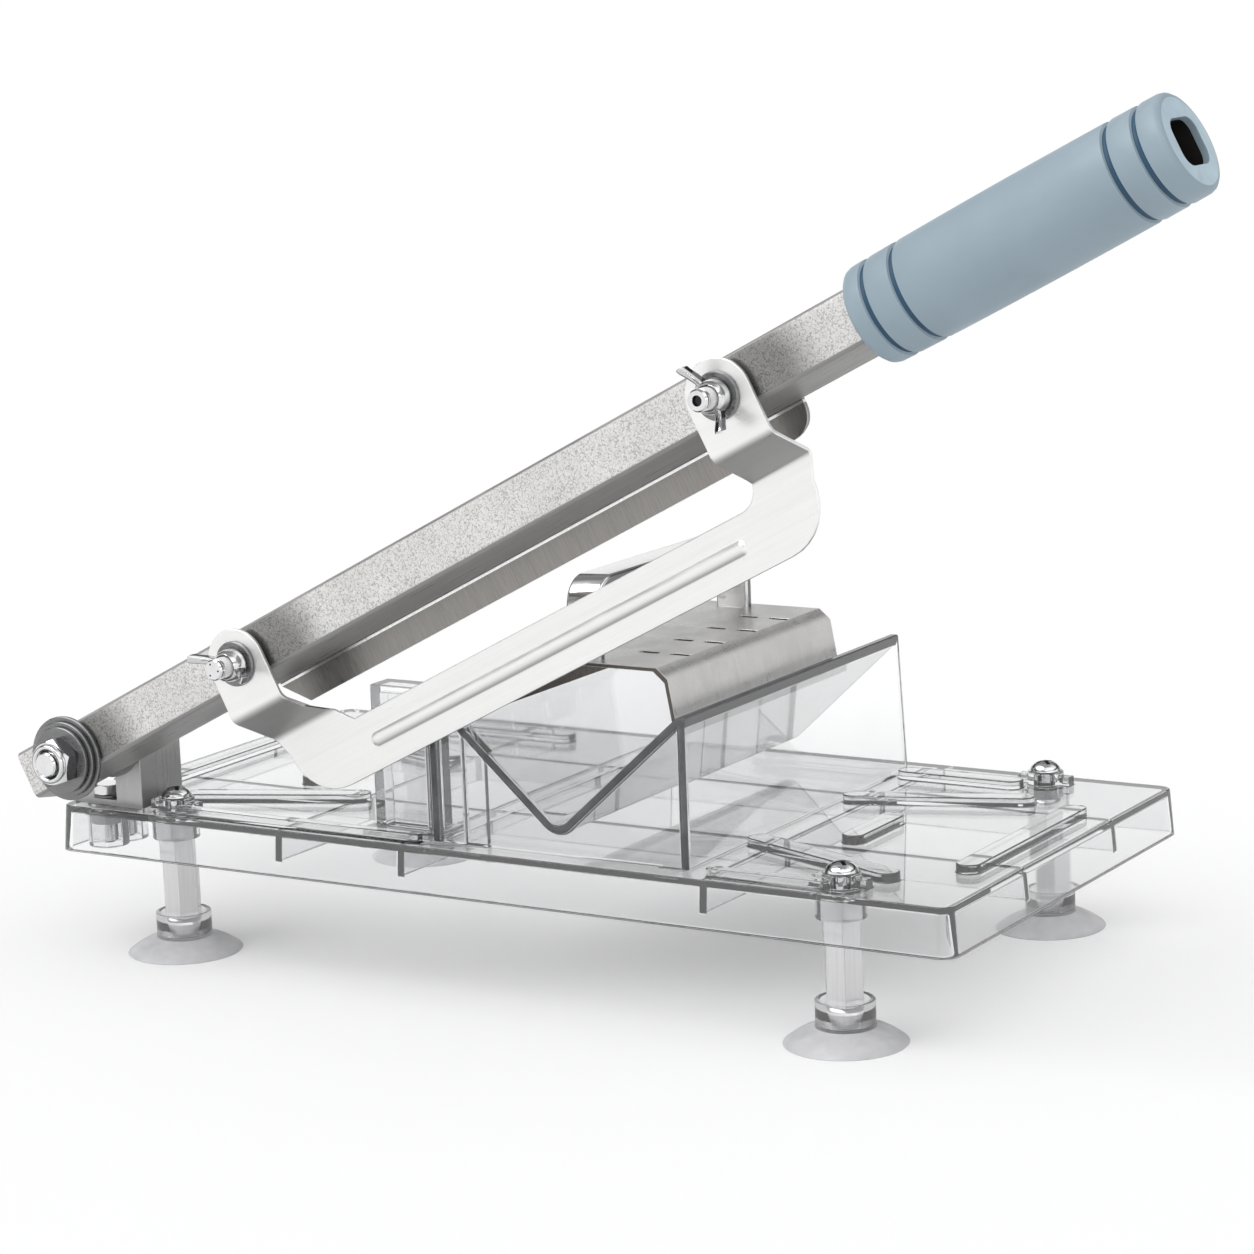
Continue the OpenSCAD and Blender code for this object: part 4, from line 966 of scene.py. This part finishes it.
class SLICER_OT_grip(bpy.types.Operator):
    """Model the grip with its rounded ends, four grooves and open end"""

    bl_idname = "slicer.grip"
    bl_label = "Grip"

    def execute(self, context):
        sizes = context.scene.slicer_sizes
        length, radius, swell = 126.5, 17.75, 0.5
        depth = sizes.groove_depth / MM
        grooves = [share * length for share in (0.067, 0.163, 0.838, 0.926)]
        profile = [(0, 0), (15.4, 0), (16.6, 0.3), (17.4, 1.1), (radius, 2.4)]
        for index, groove in enumerate(grooves):
            bulge = swell * math.sin(math.pi * groove / length)
            edge = radius + bulge
            profile += [
                (edge, groove - 1.7), (edge - 0.15, groove - 1.25), (edge - depth * 0.8, groove - 0.95),
                (edge - depth, groove - 0.5), (edge - depth, groove + 0.5), (edge - depth * 0.8, groove + 0.95),
                (edge - 0.15, groove + 1.25), (edge, groove + 1.7)]
            if index == 1:
                profile += [
                    (radius + swell * math.sin(math.pi * place / length), place)
                    for place in (32, 44, 56, 68, 80, 92)]
        profile += [(radius, length - 2.4), (17.4, length - 1.1), (16.6, length - 0.3), (15.4, length), (0, length)]
        grip = turned("grip_moulded", profile, 96, smooth=50)
        # The square way for the arm's tube, and a smaller rounded opening in the end wall
        for size_x, size_y, low, high, corner in (
                (22.9, 24.1, -2, length - 2.3, 1.2), (16.5, 19.5, length - 4, length + 2, 5)):
            deselect()
            bpy.ops.mesh.primitive_cube_add(size=1, location=(0, 0, (low + high) / 2 * MM))
            bpy.context.object.scale = (size_x * MM, size_y * MM, (high - low) * MM)
            way = begin("grip_way")
            end()
            self.round_corners(way, corner)
            cut(grip, way)
        smoothed(grip, 45)
        # Groove faces get painted shade and the flat ends painted light
        for face in grip.data.polygons:
            centre = face.center
            across = centre.xy.length
            if any(abs(centre.z / MM - groove) < 1.0 for groove in grooves) and across > 15 * MM:
                face.material_index = 1
            if abs(face.normal.z) > 0.8 and (centre.z < 0.1 * MM or centre.z > (length - 0.1) * MM):
                face.material_index = 2
        # Counted from the arm's pivot, on the tube's middle
        middle = Vector((391, (ARM_FRONT + ARM_REAR) / 2, 0)) * MM
        placed(grip, LEVER @ Matrix.Translation(middle) @ ALONG)
        finished(grip, ["grip", "groove", "grip_end"], "lever", "grip_plastic", "grip")
        return {"FINISHED"}

    def round_corners(self, way, corner):
        """Rounds a block's four long edges."""
        select_only(way)
        mode("EDIT")
        bpy.ops.mesh.select_mode(type="EDGE")
        bpy.ops.mesh.select_all(action="DESELECT")
        mode("OBJECT")
        for edge in way.data.edges:
            first, second = (way.data.vertices[index].co for index in edge.vertices)
            edge.select = abs(first.z - second.z) > MM
        mode("EDIT")
        bpy.ops.mesh.bevel(offset=corner * MM, offset_pct=0, segments=8, affect="EDGES", clamp_overlap=True)
        mode("OBJECT")


class SLICER_OT_studs(bpy.types.Operator):
    """Model the threaded studs with their round heads and centre marks"""

    bl_idname = "slicer.studs"
    bl_label = "Studs"

    def execute(self, context):
        sizes = context.scene.slicer_sizes
        pitch, depth = sizes.thread_pitch / MM, sizes.thread_depth / MM
        core = 4 - depth
        # Heights are counted forward from the board's front edge
        ends = {
            "lower": [(3.45, 36.3), (1.8, 36.45), (0, 36.5)],
            "upper": [(3.4, 36.4), (1.9, 36.5), (1.6, 35.9), (1.5, 35.0), (0, 34.6)],
        }
        for name, place in zip(("lower", "upper"), STUDS):
            rod = turned(name + "_rod", [
                (0, -10.5), (5.4, -10.5), (6.7, -9.7), (7, -8.6), (7, -7), (4, -7), (4, 19), (core, 19.6),
                (core, 33.8), (3.9, 33.9), (3.9, 34.3), (3.6, 34.45), (3.6, 34.7), (3.95, 34.85), (3.95, 35.7),
            ] + ends[name], 48)
            for finish in ("plated", "recess"):
                rod.data.materials.append(MATERIALS[finish])
            # The marks and the upper stud's centre hole take the near-black painted shade
            for turn in (90, 210, 330) if name == "lower" else ():
                dot = turned("dot", [(0.4, 35.6), (0.4, 37)], 16)
                placed(dot, Matrix.Rotation(math.radians(turn), 4, "Z") @ Matrix.Translation((2.4 * MM, 0, 0)))
                dot.data.materials.append(MATERIALS["recess"])
                cut(rod, dot, material_mode="TRANSFER")
            if name == "upper":
                faces_where(rod, lambda centre, normal: centre.z > 34.5 * MM and centre.xy.length < 1.62 * MM, 1)
            smoothed(rod, 35)
            wound = placed(
                thread(name + "_thread", 3.98, depth, pitch, 15.0), Matrix.Translation((0, 0, 18.8 * MM)))
            stud = joined(name + "_stud_threaded", [rod, wound])
            placed(stud, on_stud(place))
            finished(stud, ["plated", "recess"], "lever", "fastener_steel", name + "_stud")
        return {"FINISHED"}


class SLICER_OT_guard(bpy.types.Operator):
    """Break the slice guard's edges and model the washers on its ears"""

    bl_idname = "slicer.guard"
    bl_label = "Slice guard"

    def execute(self, context):
        sizes = context.scene.slicer_sizes
        guard = softened("guard", "guard_folded", sizes.edge_break, fold=2.2 * MM)
        finished(guard, ["guard"], "slice_guard", "guard_steel", "guard")
        washers = []
        for place in STUDS:
            washer = turned("washer", [
                (4.3, 22.5), (8.1, 22.5), (8.5, 22.8), (8.5, 23.5), (8.1, 23.9), (4.3, 23.9), (4.3, 22.5)],
                64, capped=False, smooth=40)
            washers.append(placed(washer, on_stud(place)))
        washers = joined("guard_washers_round", washers)
        finished(washers, ["washer"], "slice_guard", "fastener_steel", "guard_washers")
        return {"FINISHED"}


class SLICER_OT_wing_nuts(bpy.types.Operator):
    """Model the wing nuts with smooth wings on a turned hub"""

    bl_idname = "slicer.wing_nuts"
    bl_label = "Wing nuts"

    def execute(self, context):
        for name, place, angle in zip(("lower", "upper"), STUDS, (138, 98)):
            hub = turned(name + "_hub", [
                (4.3, 24.2), (6.1, 24.2), (6.5, 24.6), (6.4, 25.6), (5.9, 28), (5.5, 29.6), (5.0, 30.2), (4.5, 30.0),
                (4.3, 29.4), (4.3, 24.2)], 48, capped=False, smooth=45)
            wings = [self.wing(name + "_wing_" + str(side), side) for side in (1, -1)]
            nut = joined(name + "_wing_nut_cast", [hub] + wings)
            placed(nut, on_stud(place) @ Matrix.Rotation(math.radians(angle), 4, "Z"))
            finished(nut, ["plated"], name + "_wing_nut", "fastener_steel", name + "_wing_nut")
        return {"FINISHED"}

    def wing(self, name, side):
        """One wing along X, leaning forward, drawn out from the hub in steps."""
        x, z = 4.6, 27.0
        deselect()
        bpy.ops.mesh.primitive_cube_add(size=1, location=(side * x * MM, 0, z * MM))
        bpy.context.object.scale = (0.8 * MM, 2.6 * MM, 4.8 * MM)
        piece = begin(name)
        bpy.ops.mesh.select_all(action="DESELECT")
        mode("OBJECT")
        for vertex in piece.data.vertices:
            vertex.select = vertex.co.x * side > x * MM
        mode("EDIT")
        x += 0.4
        for step, rise, thick, tall in (
                (1.6, 0.6, 1.0, 1.0), (2.2, 2.2, 1.12, 0.96), (2.4, 2.8, 1.12, 0.96), (1.6, 1.4, 1.05, 0.94)):
            bpy.ops.mesh.extrude_region_move(TRANSFORM_OT_translate={"value": (side * step * MM, 0, rise * MM)})
            x, z = x + step, z + rise
            bpy.ops.transform.resize(value=(1, thick, tall), center_override=(side * x * MM, 0, z * MM))
        end()
        modified(piece, "BEVEL", width=0.95 * MM, segments=3, limit_method="ANGLE", angle_limit=math.radians(50))
        smoothed(piece, 30)
        return piece


class SLICER_OT_press(bpy.types.Operator):
    """Break the edges of the press cover and of its strap handle"""

    bl_idname = "slicer.press"
    bl_label = "Press"

    def execute(self, context):
        low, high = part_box("press_cover")
        middle = (low.x + high.x) / 2
        cover = softened("press_cover", "press_cover_folded", 0.2 * MM)

        def inner(centre, normal):
            """Undersides of the top, insides of the flanks and faces of the teeth."""
            across = centre.x - middle
            if centre.z > high.z - 1.6 * MM:
                return normal.z < -0.5
            if normal.x * across < 0 and abs(normal.x) > 0.3:
                return True
            return centre.z < high.z - 1.7 * MM and abs(normal.y) > 0.5 and abs(across) < 30 * MM

        # The faces inside the cover get the darker steel as painted shade
        faces_where(cover, inner, 1)
        finished(cover, ["cover", "cover_inside"], "press", "cover_steel", "press_cover")
        finished(self.handle(), ["handle"], "press", "handle_steel", "press_handle")
        return {"FINISHED"}

    def handle(self):
        """A flat strap with rounded edges, bent over at both ends."""
        low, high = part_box("press_handle")
        middle = (low.x + high.x) / 2
        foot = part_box("press_cover")[1].z - 1.6 * MM
        strap, bend = 4.5 * MM, 11 * MM
        deselect()
        bpy.ops.mesh.primitive_plane_add(size=1, location=(middle, low.y + strap / 2, foot))
        bpy.context.object.scale = (high.x - low.x, strap, 1)
        piece = begin("press_handle_strap")
        bpy.ops.mesh.bevel(offset=1.3 * MM, offset_pct=0, segments=4, affect="VERTICES", clamp_overlap=True)
        bpy.ops.mesh.select_all(action="SELECT")
        straights = ((0, 0, high.z - bend - foot), (0, high.y - low.y - 2 * bend, 0), (0, 0, foot - high.z + bend))
        for straight, centre in zip(straights, (low.y + bend, high.y - bend, None)):
            bpy.ops.mesh.extrude_region_move(TRANSFORM_OT_translate={"value": straight})
            if centre is not None:
                bpy.ops.mesh.spin(
                    steps=14, angle=math.pi / 2, center=(middle, centre, high.z - bend), axis=(1, 0, 0))
        end(40)
        return piece


class SLICER_OT_hidden_parts(bpy.types.Operator):
    """Give the small CAD parts that stay their finishes"""

    bl_idname = "slicer.hidden_parts"
    bl_label = "Bearing, sleeve and spacers"

    def execute(self, context):
        left_as_drawn = {"pivot_bearing": "bearing", "pivot_sleeve": "sleeve", "stud_spacers": "washer"}
        for cad_node, material in left_as_drawn.items():
            materials = frame["nodes"][cad_node].data.materials
            materials.clear()
            materials.append(MATERIALS[material])
        return {"FINISHED"}


class SLICER_OT_stage(bpy.types.Operator):
    """Set the floor, the lamps, the world and the camera"""

    bl_idname = "slicer.stage"
    bl_label = "Stage"

    def execute(self, context):
        self.floor()
        self.world()
        for name, strength, angle, turn in (
            ("Key", 1.5, 50, (38, 0, -35)),
            ("Fill", 0.5, 70, (50, 0, 60)),
        ):
            bpy.ops.object.light_add(type="SUN", location=(0, 0, 2), rotation=[math.radians(part) for part in turn])
            lamp = bpy.context.object
            lamp.name = name
            lamp.data.energy = strength
            lamp.data.angle = math.radians(angle)
        self.camera()
        return {"FINISHED"}

    def floor(self):
        """A wide pale floor that keeps the shadow and reads white beside it, painted darker near the object where
        metal reflects it.
        """
        bpy.ops.mesh.primitive_plane_add(size=120, location=(0, 0, 0))
        floor = bpy.context.object
        floor.name = "floor"
        material, tree, shader, where = new_material("Floor", Roughness=0.7)
        path = node(tree, "ShaderNodeLightPath")
        away = node(tree, "ShaderNodeVectorMath", {0: where}, operation="LENGTH").outputs["Value"]
        # Painted shade: seen in reflections, the floor is darker near the object
        painted_reflected_shade = spread(tree, away, 0.15, 0.6, 0.72, 0.95, smooth=True)
        tone = blended(tree, path.outputs["Is Glossy Ray"], (0.86, 0.86, 0.865, 1), grey(tree, painted_reflected_shade))
        tree.links.new(tone, shader.inputs["Base Color"])
        shader.inputs["Specular IOR Level"].default_value = 0.0
        seen = maths(tree, "MULTIPLY", path.outputs["Is Camera Ray"], 0.12)
        shown = maths(tree, "MULTIPLY", path.outputs["Is Transmission Ray"], 0.2)
        shader.inputs["Emission Color"].default_value = (1, 1, 1, 1)
        tree.links.new(maths(tree, "ADD", seen, shown), shader.inputs["Emission Strength"])
        floor.data.materials.append(material)

    def world(self):
        """White behind the object, and a studio of bright and dark bands where metal and edges look."""
        world = bpy.data.worlds.new("Studio")
        bpy.context.scene.world = world
        world.use_nodes = True
        tree = world.node_tree
        background = tree.nodes["Background"]
        path = node(tree, "ShaderNodeLightPath")
        direction = node(tree, "ShaderNodeTexCoord").outputs["Generated"]
        height = node(tree, "ShaderNodeSeparateXYZ", {0: direction}).outputs["Z"]
        reflected = self.ramp(tree, height, (
            (-1.0, 0.7), (0.0, 0.85), (0.12, 1.0), (0.30, 1.0), (0.36, 0.10), (0.50, 0.07), (0.56, 1.0),
            (0.80, 1.0), (0.95, 0.35)))
        through = self.ramp(tree, height, ((-1.0, 1.0), (0.5, 1.0), (0.68, 0.25), (1.0, 0.12)))
        shade = blended(tree, path.outputs["Is Glossy Ray"], (1, 1, 1, 1), reflected)
        shade = blended(tree, path.outputs["Is Transmission Ray"], shade, through)
        looked = maths(tree, "MAXIMUM", path.outputs["Is Glossy Ray"], path.outputs["Is Transmission Ray"])
        soft = spread(tree, path.outputs["Is Camera Ray"], 0.0, 1.0, 0.55, 1.0)
        tree.links.new(shade, background.inputs["Color"])
        tree.links.new(maths(tree, "MAXIMUM", soft, looked), background.inputs["Strength"])

    def ramp(self, tree, height, stops):
        """A grey for each height of a direction, from (height, level) pairs."""
        made = node(tree, "ShaderNodeValToRGB", {"Fac": spread(tree, height, -1.0, 1.0)})
        while len(made.color_ramp.elements) < len(stops):
            made.color_ramp.elements.new(0.5)
        for stop, (place, level) in zip(made.color_ramp.elements, stops):
            stop.position = (place + 1) / 2
            stop.color = (level, level, level, 1)
        return made.outputs["Color"]

    def camera(self):
        """The photograph's place and direction."""
        yaw, pitch, roll = math.radians(31.689), math.radians(10.747), math.radians(-2.14)
        turn = Matrix.Translation(at(936.25, -1086.29, 388.66))
        for angle, axis in ((yaw, "Z"), (math.pi / 2 - pitch, "X"), (roll, "Z")):
            turn = turn @ Matrix.Rotation(angle, 4, axis)
        bpy.ops.object.camera_add()
        camera = bpy.context.object
        camera.name = "camera"
        camera.matrix_world = turn
        camera.data.sensor_width = 36
        camera.data.sensor_fit = "AUTO"
        camera.data.lens = 3680.485 / 1254 * 36
        camera.data.clip_start, camera.data.clip_end = 0.05, 200
        bpy.context.scene.camera = camera


class SLICER_PT_panel(bpy.types.Panel):
    """Sidebar list of the slicer's operators"""

    bl_idname = "SLICER_PT_panel"
    bl_label = "Meat slicer"
    bl_space_type = "VIEW_3D"
    bl_region_type = "UI"
    bl_category = "Slicer"

    def draw(self, context):
        """Lists the sizes, the colours and the operators."""
        for group in (context.scene.slicer_sizes, context.scene.slicer_colours):
            for field in group.__annotations__:
                self.layout.prop(group, field)
        for operator in OPERATORS:
            self.layout.operator(operator.bl_idname)


OPERATORS = (
    SLICER_OT_materials, SLICER_OT_board, SLICER_OT_trough, SLICER_OT_feet, SLICER_OT_bracket,
    SLICER_OT_pivot, SLICER_OT_arm, SLICER_OT_grip, SLICER_OT_studs, SLICER_OT_guard,
    SLICER_OT_wing_nuts, SLICER_OT_press, SLICER_OT_hidden_parts, SLICER_OT_stage,
)
CLASSES = (SlicerSizes, SlicerColours) + OPERATORS + (SLICER_PT_panel,)


def register():
    """Registers the classes and hangs the values on the scene."""
    for part in CLASSES:
        bpy.utils.register_class(part)
    bpy.types.Scene.slicer_sizes = bpy.props.PointerProperty(type=SlicerSizes)
    bpy.types.Scene.slicer_colours = bpy.props.PointerProperty(type=SlicerColours)


def unregister():
    """Takes the values and the classes away."""
    del bpy.types.Scene.slicer_colours
    del bpy.types.Scene.slicer_sizes
    for part in reversed(CLASSES):
        bpy.utils.unregister_class(part)


def main():
    """Builds every piece and the stage."""
    register()
    bpy.context.scene.view_settings.view_transform = "Standard"
    for operator in OPERATORS:
        group, name = operator.bl_idname.split(".")
        getattr(getattr(bpy.ops, group), name)()


if __name__ == "__main__":
    main()
